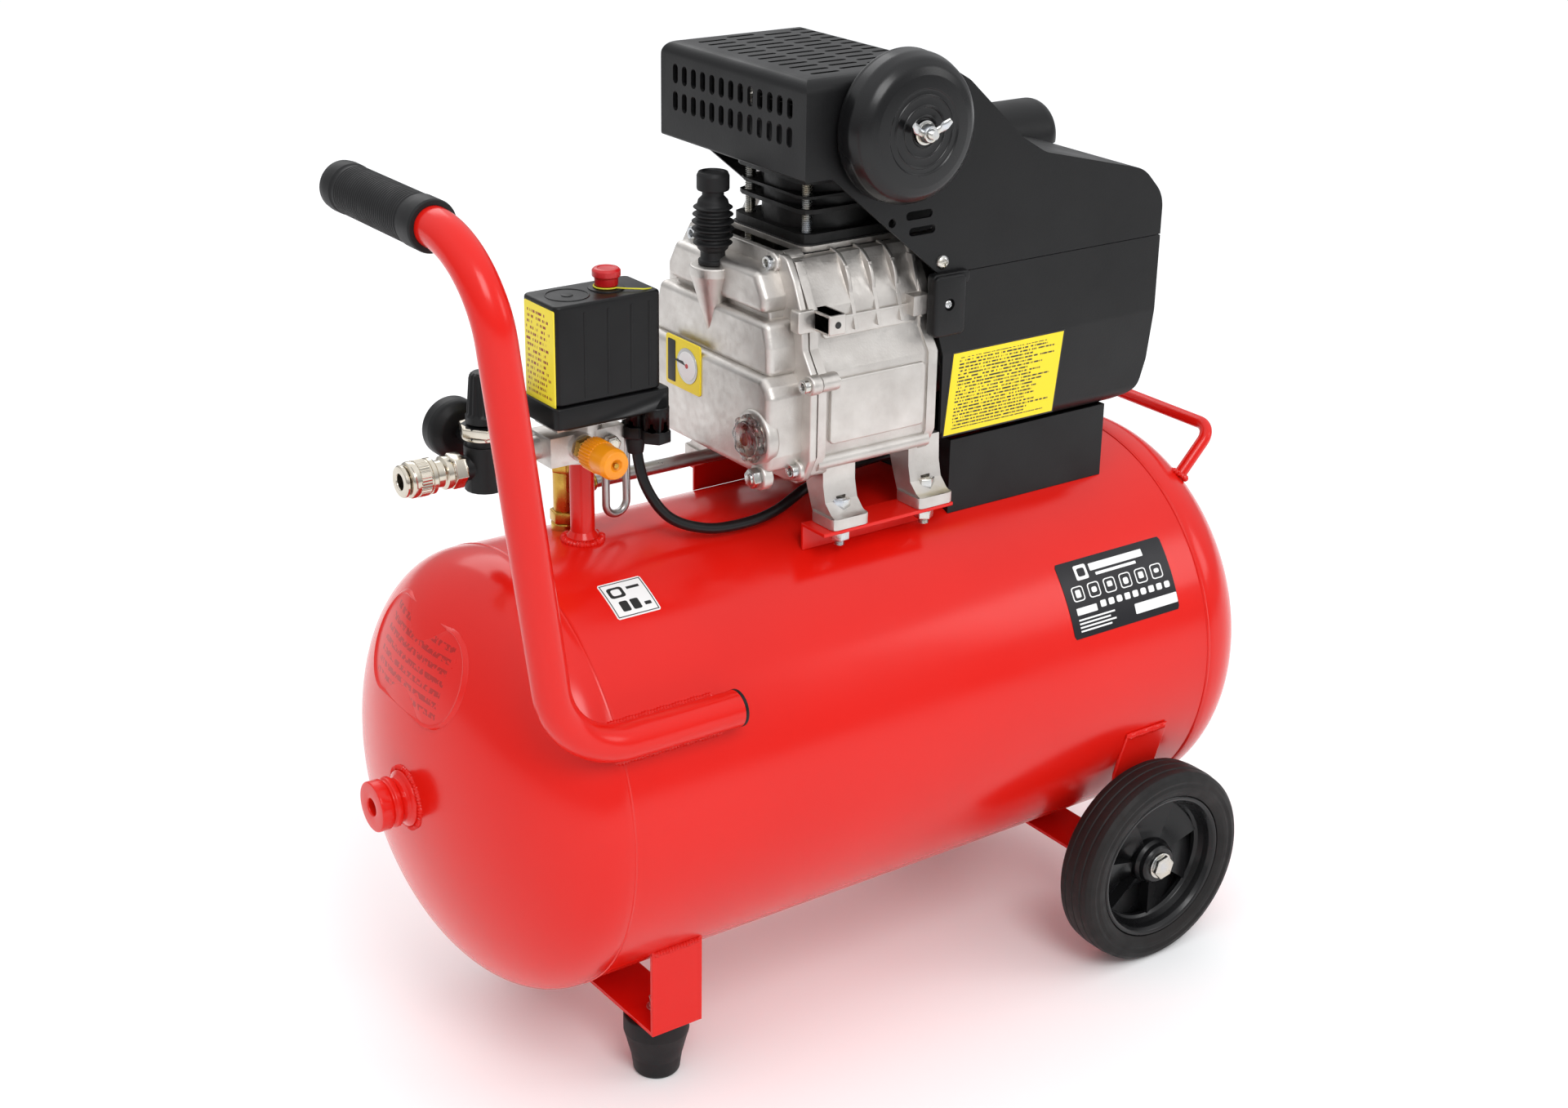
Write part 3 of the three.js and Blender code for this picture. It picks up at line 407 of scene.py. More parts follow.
def add(tree: bpy.types.NodeTree, kind: str, settings: dict[str, object] | None = None,
        links: dict[str, bpy.types.NodeSocket] | None = None) -> bpy.types.Node:
    """Adds a node, sets its properties and sockets by name, and links its inputs.

    Args:
        tree: the node tree.
        kind: the node's type name.
        settings: property or input names, and their values.
        links: input names, and the sockets that feed them.

    Returns:
        The new node.
    """
    node = tree.nodes.new(kind)
    for name, value in (settings or {}).items():
        if name in node.inputs:
            node.inputs[name].default_value = value
        elif name.isdigit():
            node.inputs[int(name)].default_value = value
        else:
            setattr(node, name, value)
    for name, socket in (links or {}).items():
        tree.links.new(socket, node.inputs[int(name)] if name.isdigit() else node.inputs[name])
    return node


@dataclass(frozen=True)
class Finish:
    """A finish: two colours in soft patches, a roughness that wanders, and a fine grain in relief.

    Patch, wander and grain are real sizes in millimetres: how wide a patch, a dull spot or a grain is.
    """

    name: str
    slot: str
    colour: str
    tint: str
    roughness: float
    spread: float = 0.06
    metallic: float = 0.0
    patch: float = 60.0
    wander: float = 12.0
    grain: float = 0.8
    relief: float = 0.02
    coat: float = 0.0
    coat_roughness: float = 0.05
    specular: float = 0.5
    transmission: float = 0.0
    ior: float = 1.5

    def noise(self, tree: bpy.types.NodeTree, where: bpy.types.NodeSocket, size: float, detail: float,
              low: float, high: float) -> bpy.types.NodeSocket:
        """Noise with features of a real size in millimetres, mapped onto a range."""
        cloud = add(tree, "ShaderNodeTexNoise", {"Scale": 1000 / size / 2, "Detail": detail},
                    {"Vector": where})
        spread = add(tree, "ShaderNodeMapRange", {"From Min": 0.3, "From Max": 0.7, "To Min": low,
                                                  "To Max": high}, {"Value": cloud.outputs["Fac"]})
        return spread.outputs["Result"]

    def colours(self, tree: bpy.types.NodeTree, where: bpy.types.NodeSocket) -> bpy.types.NodeSocket:
        """The colour: the main one with soft patches of the tint."""
        share = self.noise(tree, where, self.patch, 4, 0.0, 1.0)
        mix = add(tree, "ShaderNodeMix", {"data_type": "RGBA"}, {"Factor": share})
        mix.inputs[6].default_value = linear(self.colour)
        mix.inputs[7].default_value = linear(self.tint)
        return mix.outputs[2]

    def height(self, tree: bpy.types.NodeTree, where: bpy.types.NodeSocket) -> bpy.types.NodeSocket:
        """The relief's height, 0 to 1."""
        return self.noise(tree, where, self.grain, 2, 0.0, 1.0)

    def material(self) -> bpy.types.Material:
        """The finish as a node material, made once."""
        made = bpy.data.materials.get(self.name)
        if made:
            return made
        made = bpy.data.materials.new(self.name)
        made.use_nodes = True
        tree = made.node_tree
        shader = tree.nodes["Principled BSDF"]
        where = add(tree, "ShaderNodeTexCoord").outputs["Object"]
        for socket, value in {"Metallic": self.metallic, "Coat Weight": self.coat,
                              "Coat Roughness": self.coat_roughness, "IOR": self.ior,
                              "Specular IOR Level": self.specular,
                              "Transmission Weight": self.transmission}.items():
            shader.inputs[socket].default_value = value
        tree.links.new(self.colours(tree, where), shader.inputs["Base Color"])
        dull = self.noise(tree, where, self.wander, 3, self.roughness - self.spread,
                          self.roughness + self.spread)
        tree.links.new(dull, shader.inputs["Roughness"])
        if self.relief > 0:
            bump = add(tree, "ShaderNodeBump", {"Strength": 0.6, "Distance": self.relief * METRES},
                       {"Height": self.height(tree, where)})
            tree.links.new(bump.outputs["Normal"], shader.inputs["Normal"])
        return made


@dataclass(frozen=True)
class Printed(Finish):
    """A printed sticker with a border and lines of a fine dark print too small to read.

    The piece's own UV map runs from 0 to 1 across it; rows is how many lines of print it holds.
    """

    ink: str = "#1a1a1a"
    rows: float = 24.0
    letters: float = 70.0
    margin: float = 0.06
    fill: float = 0.46

    def colours(self, tree: bpy.types.NodeTree, where: bpy.types.NodeSocket) -> bpy.types.NodeSocket:
        """The print: in each row's middle band, noise along the row above a threshold is ink."""
        own = add(tree, "ShaderNodeUVMap", {"uv_map": "UVMap"}).outputs["UV"]
        parts = add(tree, "ShaderNodeSeparateXYZ", links={"Vector": own}).outputs
        row = self.maths(tree, "MULTIPLY", parts["Y"], self.rows)
        band = self.maths(tree, "FRACT", row)
        line = self.maths(tree, "MULTIPLY", self.maths(tree, "GREATER_THAN", band, 0.3),
                          self.maths(tree, "LESS_THAN", band, 0.78))
        place = add(tree, "ShaderNodeCombineXYZ", links={
            "X": self.maths(tree, "MULTIPLY", parts["X"], self.letters),
            "Y": self.maths(tree, "MULTIPLY", self.maths(tree, "FLOOR", row), 7.3)}).outputs["Vector"]
        words = add(tree, "ShaderNodeTexNoise", {"Scale": 1.1, "Detail": 4.0}, {"Vector": place})
        inked = self.maths(tree, "GREATER_THAN", words.outputs["Fac"], self.fill)
        ends = add(tree, "ShaderNodeTexWhiteNoise", {"noise_dimensions": "1D"},
                   {"W": self.maths(tree, "FLOOR", row)}).outputs["Value"]
        end = self.maths(tree, "SUBTRACT", 1 - self.margin, self.maths(tree, "MULTIPLY", ends, 0.25))
        mask = self.maths(tree, "MULTIPLY", line, inked)
        for value in (self.maths(tree, "GREATER_THAN", parts["X"], self.margin),
                      self.maths(tree, "LESS_THAN", parts["X"], end),
                      self.maths(tree, "GREATER_THAN", parts["Y"], self.margin),
                      self.maths(tree, "LESS_THAN", parts["Y"], 1 - self.margin)):
            mask = self.maths(tree, "MULTIPLY", mask, value)
        mix = add(tree, "ShaderNodeMix", {"data_type": "RGBA"}, {"Factor": mask})
        tree.links.new(super().colours(tree, where), mix.inputs[6])
        mix.inputs[7].default_value = linear(self.ink)
        return mix.outputs[2]

    @staticmethod
    def maths(tree: bpy.types.NodeTree, operation: str, first: bpy.types.NodeSocket | float,
              second: bpy.types.NodeSocket | float | None = None) -> bpy.types.NodeSocket:
        """One step of arithmetic on sockets or numbers."""
        settings: dict[str, object] = {"operation": operation}
        links: dict[str, bpy.types.NodeSocket] = {}
        for index, value in enumerate((first, second)):
            if isinstance(value, bpy.types.NodeSocket):
                links[str(index)] = value
            elif value is not None:
                settings[str(index)] = value
        return add(tree, "ShaderNodeMath", settings, links).outputs[0]


# red powder coat over steel: deep, wet-looking, with a slight orange peel of about 5 mm
RED_PAINT = Finish("red_powder_coat", "red_paint", "#d9190f", "#d2160d", 0.2, 0.03, patch=90,
                   wander=30, grain=5.0, relief=0.03, coat=0.0, specular=0.34)
# moulded polypropylene: the satin black of the shrouds, with a spark-eroded grain
SATIN_BLACK = Finish("moulded_polypropylene_black", "black_plastic", "#0d0d0e", "#111112", 0.42, 0.05,
                     patch=50, wander=18, grain=0.9, relief=0.035, specular=0.26)
# glossy moulded ABS: filter canister and wheel rims, smooth from a polished tool
GLOSS_BLACK = Finish("moulded_abs_gloss_black", "black_gloss", "#0e0e0f", "#111112", 0.27, 0.04,
                     patch=40, wander=25, grain=2.5, relief=0.008, specular=0.36)
# ABS of the switch: a bit rougher and greyer
SWITCH_BLACK = Finish("moulded_abs_switch_black", "black_plastic", "#0b0b0c", "#0f0f10", 0.38, 0.05,
                      patch=30, wander=9, grain=0.7, relief=0.015, specular=0.26)
# solid tyre rubber: dull, a little dusty brown in patches
TYRE_RUBBER = Finish("moulded_tyre_rubber", "tyre_rubber", "#131212", "#1b1716", 0.58, 0.08, patch=22,
                     wander=6, grain=0.6, relief=0.03, specular=0.3)
# soft rubber of the feet, lead and boots
SOFT_RUBBER = Finish("moulded_soft_rubber", "rubber", "#111112", "#181819", 0.55, 0.07, patch=25,
                     wander=7, grain=0.5, relief=0.02, specular=0.3)
CABLE_SHEATH = Finish("extruded_pvc_sheath", "rubber", "#0c0c0d", "#101011", 0.34, 0.05, patch=18,
                      wander=6, grain=1.4, relief=0.01, specular=0.35)
# shot-blasted die-cast aluminium: pale grey with a sparkle of fine dents, 0.9 mm so that it shows
CAST_ALUMINIUM = Finish("blasted_cast_aluminium", "cast_aluminium", "#d6d2cd", "#c2bdb8", 0.46, 0.07,
                        metallic=1.0, patch=14, wander=3, grain=0.9, relief=0.085)
BLACK_IRON = Finish("black_stoved_cast_iron", "black_iron", "#0e0e0e", "#161514", 0.5, 0.08,
                    patch=14, wander=4, grain=1.2, relief=0.06, specular=0.3)
# bright zinc plate: cool, with a faint blue-gold bloom
ZINC_PLATE = Finish("bright_zinc_plate", "zinc_steel", "#c3c8cf", "#cfc9bb", 0.26, 0.08, metallic=1.0,
                    patch=7, wander=3, grain=1.6, relief=0.01)
DRAWN_ALUMINIUM = Finish("drawn_aluminium_tube", "bright_steel", "#b9b8b6", "#a9a8a6", 0.33, 0.06,
                         metallic=1.0, patch=20, wander=5, grain=0.8, relief=0.012)
MACHINED_STEEL = Finish("turned_steel", "bright_steel", "#9a9a9a", "#858382", 0.3, 0.06, metallic=1.0,
                        patch=12, wander=4, grain=0.6, relief=0.01)
BRASS = Finish("turned_brass", "brass", "#c9a24e", "#b48b3c", 0.27, 0.07, metallic=1.0, patch=8,
               wander=4, grain=0.9, relief=0.008)
# nickel plate on brass: warm silver, nearly a mirror
NICKEL = Finish("nickel_plate", "nickel", "#d3ccbf", "#c4bbab", 0.17, 0.05, metallic=1.0, patch=9,
                wander=4, grain=1.2, relief=0.006)
CLEAR_PLASTIC = Finish("clear_polycarbonate", "clear_plastic", "#f2ece9", "#efe6e2", 0.06, 0.02,
                       patch=9, wander=5, relief=0.0, transmission=1.0, ior=1.58)
RED_PLASTIC = Finish("moulded_red_plastic", "red_plastic", "#c2161b", "#b51217", 0.33, 0.05, patch=9,
                     wander=4, grain=0.8, relief=0.008)
AMBER_PLASTIC = Finish("moulded_amber_plastic", "amber_plastic", "#f0970e", "#e58a08", 0.35, 0.05,
                       patch=9, wander=4, grain=0.8, relief=0.01)
YELLOW_PRINT = Printed("yellow_vinyl_sticker_printed", "amber_plastic", "#f6dd10", "#f2d70c", 0.4, 0.04,
                       relief=0.0, rows=24, letters=75)
SWITCH_PRINT = Printed("yellow_sticker_red_print", "amber_plastic", "#f3df3c", "#efd92e", 0.4, 0.04,
                       relief=0.0, ink="#8a2a1a", rows=17, letters=24, fill=0.5)
YELLOW_VINYL = Finish("yellow_vinyl", "amber_plastic", "#f6dd10", "#efd30c", 0.4, 0.04, relief=0.0)
BLACK_VINYL = Finish("black_vinyl_sticker", "black_plastic", "#141318", "#17161b", 0.35, 0.04, relief=0.0,
                     specular=0.3)
WHITE_PRINT = Finish("white_print", "clear_plastic", "#efefee", "#e8e8e7", 0.45, 0.04, relief=0.0)
WHITE_LINES = Printed("white_sticker_printed", "clear_plastic", "#efefee", "#e8e8e7", 0.42, 0.04,
                      relief=0.0, rows=5, letters=14, fill=0.5)
# black print and gaskets; also the black disc that is painted shade in the crankcase lug's hole
BLACK_INK_AND_PAINTED_SHADE = Finish("black_print_and_painted_shade", "black_plastic", "#111111", "#151515", 0.5, 0.04, relief=0.0)
YELLOW_CORD = Finish("yellow_twine", "amber_plastic", "#d9d32f", "#c9c229", 0.6, 0.05, grain=0.5,
                     relief=0.08)
PALE_FLOOR = Finish("pale_studio_floor", "clear_plastic", "#fdfdfd", "#fcfcfc", 0.9, 0.02, patch=900,
                    wander=900, relief=0.0)


# ---- putting pieces into the scene --------------------------------------------------------------
@dataclass
class Workshop:
    """Makes Blender objects from shapes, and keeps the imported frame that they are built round."""

    frame: dict
    body_of: dict[str, str] = field(default_factory=dict)
    count: int = 0

    def __post_init__(self) -> None:
        """Finds the body that each CAD node rides on."""
        for body, nodes in self.frame["record"]["behaviour"]["bodies"].items():
            for node in nodes:
                self.body_of[node] = body

    def mesh(self, name: str, shape: Shape, closed: bool = True) -> bpy.types.Mesh:
        """A mesh in metres in the row frame, its poles and seams closed and its faces outwards."""
        points = (shape.points + [DRAWING_SHIFT, 0, 0]) * METRES
        mesh = bpy.data.meshes.new(name)
        mesh.from_pydata(points.tolist(), [], shape.faces)
        if shape.uv is not None:
            loops = np.zeros(len(mesh.loops), np.int32)
            mesh.loops.foreach_get("vertex_index", loops)
            layer = mesh.uv_layers.new(name="UVMap")
            layer.data.foreach_set("uv", shape.uv[loops].astype(np.float32).ravel())
        work = bmesh.new()
        work.from_mesh(mesh)
        bmesh.ops.remove_doubles(work, verts=work.verts, dist=WELD)
        if closed:
            bmesh.ops.recalc_face_normals(work, faces=work.faces)
        work.to_mesh(mesh)
        work.free()
        return mesh

    def make(self, name: str, shape: Shape, finish: Finish, node: str, replaces: bool = False,
             bevel: float = 0.0, smooth: float = 38.0, holes: Shape | None = None,
             also: Sequence[str] = ()) -> bpy.types.Object:
        """Puts a finished piece into the scene.

        Args:
            name: the piece's name.
            shape: its surface, drawing mm.
            finish: its finish.
            node: the CAD node whose body it rides on.
            replaces: whether it stands for that node.
            bevel: width of the rounding put on its sharp edges, mm.
            smooth: edges sharper than this many degrees stay sharp.
            holes: a closed shape that is cut out of it.
            also: other CAD nodes that it stands for.

        Returns:
            The object.
        """
        piece = bpy.data.objects.new(name, self.mesh(name, shape))
        bpy.context.scene.collection.objects.link(piece)
        return self.dress(piece, finish, node, replaces, bevel, smooth, holes, also)

    def dress(self, piece: bpy.types.Object, finish: Finish, node: str, replaces: bool, bevel: float,
              smooth: float, holes: Shape | None, also: Sequence[str] = ()) -> bpy.types.Object:
        """Cuts, smooths, finishes and fastens an object; the arguments are those of make."""
        if holes is not None:
            tool = bpy.data.objects.new("holes", self.mesh("holes", holes))
            bpy.context.scene.collection.objects.link(tool)
            cutting = piece.modifiers.new("holes", "BOOLEAN")
            cutting.operation, cutting.solver, cutting.object = "DIFFERENCE", "EXACT", tool
            cutting.use_self = True
            depsgraph = bpy.context.evaluated_depsgraph_get()
            cut = bpy.data.meshes.new_from_object(piece.evaluated_get(depsgraph))
            piece.modifiers.clear()
            old, piece.data = piece.data, cut
            bpy.data.meshes.remove(old)
            bpy.data.objects.remove(tool)
        piece.data.name = piece.name
        piece.data.materials.clear()
        piece.data.materials.append(finish.material())
        piece.data.polygons.foreach_set("use_smooth", np.ones(len(piece.data.polygons), bool))
        piece.data.set_sharp_from_angle(angle=math.radians(smooth))
        if bevel > 0:
            edge = piece.modifiers.new("edge", "BEVEL")
            edge.width, edge.segments, edge.limit_method = bevel * METRES, 2, "ANGLE"
            edge.angle_limit, edge.harden_normals = math.radians(smooth), False
            edge.use_clamp_overlap = True
        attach(piece, self.body_of[node])
        if replaces:
            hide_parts(node)
        if also:
            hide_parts(*also)
        self.count += 1
        return piece

    def refine(self, node: str, finish: Finish, bevel: float = 0.6, smooth: float = 38.0,
               holes: Shape | None = None) -> bpy.types.Object:
        """A copy of a CAD node with its facets joined, its edges rounded and its finish on."""
        mesh = self.frame["nodes"][node].data.copy()
        work = bmesh.new()
        work.from_mesh(mesh)
        bmesh.ops.remove_doubles(work, verts=work.verts, dist=WELD)
        bmesh.ops.dissolve_limit(work, angle_limit=math.radians(0.6), verts=work.verts, edges=work.edges)
        work.to_mesh(mesh)
        work.free()
        piece = bpy.data.objects.new(f"{node}_finished", mesh)
        bpy.context.scene.collection.objects.link(piece)
        return self.dress(piece, finish, node, True, bevel, smooth, holes)

    def finish_node(self, node: str, finish: Finish) -> None:
        """Gives a CAD node that stays as it is its finish."""
        mesh = self.frame["nodes"][node].data
        mesh.materials.clear()
        mesh.materials.append(finish.material())

    def box(self, node: str) -> tuple[Array, Array]:
        """A CAD node's lowest and highest corners in drawing millimetres."""
        low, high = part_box(node)
        shift = np.array([DRAWING_SHIFT, 0, 0])
        return np.array(low) / METRES - shift, np.array(high) / METRES - shift


# ---- the studio ---------------------------------------------------------------------------------
@dataclass
class Studio:
    """Pale floor, soft light and the camera."""

    lens: float = 53.47  # mm on a 36 mm sensor
    eye: Point = (-958.1, -1297.0, 1001.5)  # row frame, mm
    target: Point = (-17.8, 0.0, 335.2)
    roll: float = 1.0  # degrees
    horizon: float = 0.4  # brightness of the dome at the horizon
    zenith: float = 1.3  # and straight up

    def build(self) -> None:
        """Makes the camera, the floor, the lights and the world."""
        scene = bpy.context.scene
        scene.view_settings.view_transform = "Standard"
        camera = bpy.data.objects.new("camera", bpy.data.cameras.new("camera"))
        scene.collection.objects.link(camera)
        scene.camera = camera
        camera.data.lens, camera.data.sensor_width = self.lens, 36.0
        camera.data.clip_start, camera.data.clip_end = 0.05, 30.0
        eye, target = np.array(self.eye), np.array(self.target)
        back = (eye - target) / np.linalg.norm(eye - target)
        right = np.cross([0, 0, 1], back)
        right /= np.linalg.norm(right)
        up = np.cross(back, right)
        turn = math.radians(self.roll)
        matrix = np.eye(4)
        matrix[:3, 0] = right * math.cos(turn) + up * math.sin(turn)
        matrix[:3, 1] = up * math.cos(turn) - right * math.sin(turn)
        matrix[:3, 2] = back
        matrix[:3, 3] = eye * METRES
        camera.matrix_world = Matrix(matrix.tolist())
        self.floor()
        self.light("key_softbox", (-0.7, -2.0, 2.3), 1.1, 27)
        self.light("fill_softbox", (2.2, -1.9, 1.5), 1.0, 8)
        self.light("rear_softbox", (0.4, 2.4, 2.2), 1.6, 13)
        self.sky(scene)

    def sky(self, scene: bpy.types.Scene) -> None:
        """A white dome, bright overhead and dimmer towards the horizon, as a big overhead diffuser is."""
        world = bpy.data.worlds.new("studio")
        scene.world = world
        world.use_nodes = True
        tree = world.node_tree
        background = tree.nodes["Background"]
        where = add(tree, "ShaderNodeTexCoord").outputs["Generated"]
        height = add(tree, "ShaderNodeSeparateXYZ", links={"Vector": where}).outputs["Z"]
        bright = add(tree, "ShaderNodeMapRange", {"From Min": 0.0, "From Max": 0.85, "To Min": self.horizon,
                                                  "To Max": self.zenith}, {"Value": height})
        background.inputs["Color"].default_value = linear("#fafbfd")
        tree.links.new(bright.outputs["Result"], background.inputs["Strength"])

    def floor(self) -> None:
        """A pale floor that the object stands on."""
        half = 6000.0
        corners = np.array([[-half, -half, 0], [half, -half, 0], [half, half, 0], [-half, half, 0]], float)
        mesh = bpy.data.meshes.new("floor")
        mesh.from_pydata((corners * METRES).tolist(), [], [(0, 1, 2, 3)])
        mesh.materials.append(PALE_FLOOR.material())
        floor = bpy.data.objects.new("floor", mesh)
        bpy.context.scene.collection.objects.link(floor)

    def light(self, name: str, place: Point, size: float, power: float) -> None:
        """A square soft light at a place in metres, aimed at the object's middle."""
        lamp = bpy.data.lights.new(name, "AREA")
        lamp.size, lamp.energy = size, power
        light = bpy.data.objects.new(name, lamp)
        bpy.context.scene.collection.objects.link(light)
        back = np.array(place) - np.array(self.target) * METRES
        back /= np.linalg.norm(back)
        side = np.cross([0, 0, 1], back)
        side /= np.linalg.norm(side)
        matrix = np.eye(4)
        matrix[:3, 0], matrix[:3, 1], matrix[:3, 2], matrix[:3, 3] = side, np.cross(back, side), back, place
        light.matrix_world = Matrix(matrix.tolist())


# ---- small fittings -----------------------------------------------------------------------------
def threaded(axis: Axis, radius: float, low: float, high: float, centre: Sequence[float],
             pitch: float = 1.5) -> Shape:
    """A threaded bar: a profile that rises and falls once each pitch."""
    turns = max(2, int((high - low) / pitch))
    along = np.linspace(low, high, 2 * turns + 1)
    r = np.where(np.arange(len(along)) % 2 == 0, radius, radius - 0.5 * pitch)
    profile = [(0, low), *zip(r, along), (0, high)]
    return revolve(axis, profile, centre, 24)


def bolt_head(axis: Axis, flats: float, seat: float, way: int, centre: Sequence[float],
              washer: float = 0.0, turn: float = 0.0) -> Shape:
    """A hexagon head, on a flat and a spring washer where washer gives a radius; way is +1 or -1."""
    parts = []
    level = seat
    if washer:
        parts.append(rod(axis, washer, *sorted((level, level + way * 1.3)), centre, 0.4))
        parts.append(rod(axis, washer * 0.78, *sorted((level + way * 1.3, level + way * 3.0)), centre, 0.3))
        level += way * 3.0
    height = flats * 0.55
    parts.append(hexagon(axis, flats, *sorted((level, level + way * height)), centre, turn, 0.9))
    parts.append(rod(axis, flats * 0.36, *sorted((level + way * (height - 0.6), level + way * (height + 0.35))),
                     centre, 0.3))
    return together(parts)


def pan_head(axis: Axis, radius: float, seat: float, way: int, centre: Sequence[float]) -> tuple[Shape, Shape]:
    """A domed screw head and its cross recess; way is +1 or -1."""
    t = np.linspace(0, math.pi / 2, 7)
    dome = [(radius * math.sin(a), seat + way * radius * 0.62 * math.cos(a)) for a in t]
    head = revolve(axis, [*dome, (radius, seat - way * 1.0), (0, seat - way * 1.0)], centre, 32)
    span = sorted((seat + way * radius * 0.28, seat + way * radius))
    a, b = centre
    arm, half = radius * 0.55, radius * 0.13
    cross = (slab(axis, rectangle(a - arm, a + arm, b - half, b + half, half * 0.6, 2), *span)
             + slab(axis, rectangle(a - half, a + half, b - arm, b + arm, half * 0.6, 2), *span))
    return head, cross


# ---- the receiver -------------------------------------------------------------------------------
@dataclass
class Receiver:
    """The welded tank, with its stamped plate, boss, beads and stickers."""

    radius: float = 160.0
    seam: float = 269.0
    head: float = 80.0
    z: float = 226.5
    lift: float = 0.35  # how far a sticker stands off the paint

    def profile(self) -> list[tuple[float, float]]:
        """The tank's half outline: two 2:1 elliptical heads, each slipped 0.7 mm over the tube."""
        t = np.linspace(0, math.pi / 2, 40)
        radius, reach = self.radius + 0.7, self.head + 0.7
        head = np.stack([radius * np.sin(t), -self.seam - reach * np.cos(t)], 1)
        lap = [(radius, -self.seam + 5), (self.radius, -self.seam + 6.5)]
        tube = [(self.radius, x) for x in np.linspace(-self.seam + 9, self.seam - 9, 24)]
        half = [tuple(p) for p in head] + lap + tube
        return half + [(r, -x) for r, x in (lap[::-1] + [tuple(p) for p in head[::-1]])]

    def around(self, x: float, radius: float, start: float, end: float, steps: int = 90) -> Array:
        """Points of a circle round the tank's axis, from angle start to end in degrees from +Y."""
        angle = np.radians(np.linspace(start, end, steps))
        return np.stack([np.full(steps, x), radius * np.cos(angle), self.z + radius * np.sin(angle)], 1)

    def sticker(self, x0: float, x1: float, high: float, low: float, corner: float = 1.5,
                lift: float = 0.35) -> Shape:
        """A thin sticker on the near side: a flat shape wrapped round the tube.

        A point (u, v) of the flat shape goes to x = u and to the angle v / radius below the top.

        Args:
            x0: its left edge.
            x1: its right edge.
            high: its upper edge, as degrees below the tank's top towards -Y.
            low: its lower edge, in the same way.
            corner: radius of its corners, mm.
            lift: how far its face stands off the tube.

        Returns:
            A closed thin plate with a UV map from 0 to 1 over it.
        """
        rows = 24
        t = np.linspace(0, 1, rows)
        angle = np.radians(high + (low - high) * t)
        length = self.radius * (angle - angle[0])
        near = np.minimum(length, length[-1] - length)
        pull = corner - np.sqrt(np.maximum(corner ** 2 - np.maximum(corner - near, 0) ** 2, 0))
        columns = np.linspace(0, 1, 30)
        u = (x0 + pull[:, None]) + (x1 - x0 - 2 * pull[:, None]) * columns
        sheets = []
        for radius in (self.radius + lift, self.radius - 0.2):
            y = np.repeat(-radius * np.sin(angle)[:, None], len(columns), 1)
            z = np.repeat(self.z + radius * np.cos(angle)[:, None], len(columns), 1)
            sheets.append(np.stack([u, y, z], -1).reshape(-1, 3))
        count = rows * len(columns)
        faces = grid_faces(rows, len(columns), False, False)
        under = [tuple(i + count for i in face[::-1]) for face in faces]
        grid = np.arange(count).reshape(rows, len(columns))
        rim = np.concatenate([grid[0, :-1], grid[:-1, -1], grid[-1, :0:-1], grid[:0:-1, 0]])
        wall = [(a, b, b + count, a + count) for a, b in zip(np.roll(rim, -1).tolist(), rim.tolist())]
        uv = np.stack([np.tile(columns, rows), np.repeat(1 - t, len(columns))], 1)
        return Shape(np.vstack(sheets), faces + under + wall, np.vstack([uv, uv]))

    def plate(self) -> Shape:
        """The oval stamped plate on the left head.

        Rings of the oval, from its middle to its edge, lie on the head's ellipsoid and stand off it by
        1.6 mm, with a rounded rim that goes down into the paint.
        """
        outline = rectangle(-54, 84, 287, 354, 33, 16)
        middle = outline.mean(0)
        scale = np.concatenate([np.linspace(0, 0.86, 16), np.linspace(0.87, 1, 22)])
        rise = np.full(len(scale), 1.3)
        rise += 1.5 * np.exp(-((scale - 0.95) / 0.02) ** 2)
        rise -= 2.6 * np.clip((scale - 0.975) / 0.025, 0, 1) ** 2
        flat = middle + (outline - middle)[None] * scale[:, None, None]
        out = np.hypot(flat[..., 0], flat[..., 1] - self.z) / self.radius
        x = -self.seam - self.head * np.sqrt(np.maximum(1 - out ** 2, 0)) - rise[:, None]
        rings = np.concatenate([x[..., None], flat], -1)
        back = rings[-1:].copy()
        back[..., 0] += 6
        rings = np.concatenate([rings, back])
        uv = (flat - outline.min(0)) / (outline.max(0) - outline.min(0))
        uv = np.concatenate([uv, uv[-1:]]).reshape(-1, 2)
        uv[:, 0] = 1 - uv[:, 0]
        faces = grid_faces(len(rings), len(outline), False, True)
        faces.append(tuple(range((len(rings) - 1) * len(outline), len(rings) * len(outline))))
        return Shape(rings.reshape(-1, 3), faces, uv)

    def ring_bead(self, x: float, y: float, radius: float, thick: float) -> Shape:
        """A weld bead round an upright pipe where it enters the tank's top."""
        angle = np.linspace(0, 2 * math.pi, 60)
        px, py = x + radius * np.cos(angle), y + radius * np.sin(angle)
        return bead(np.stack([px, py, self.z + np.sqrt(self.radius ** 2 - py ** 2) + thick * 0.2], 1), thick)

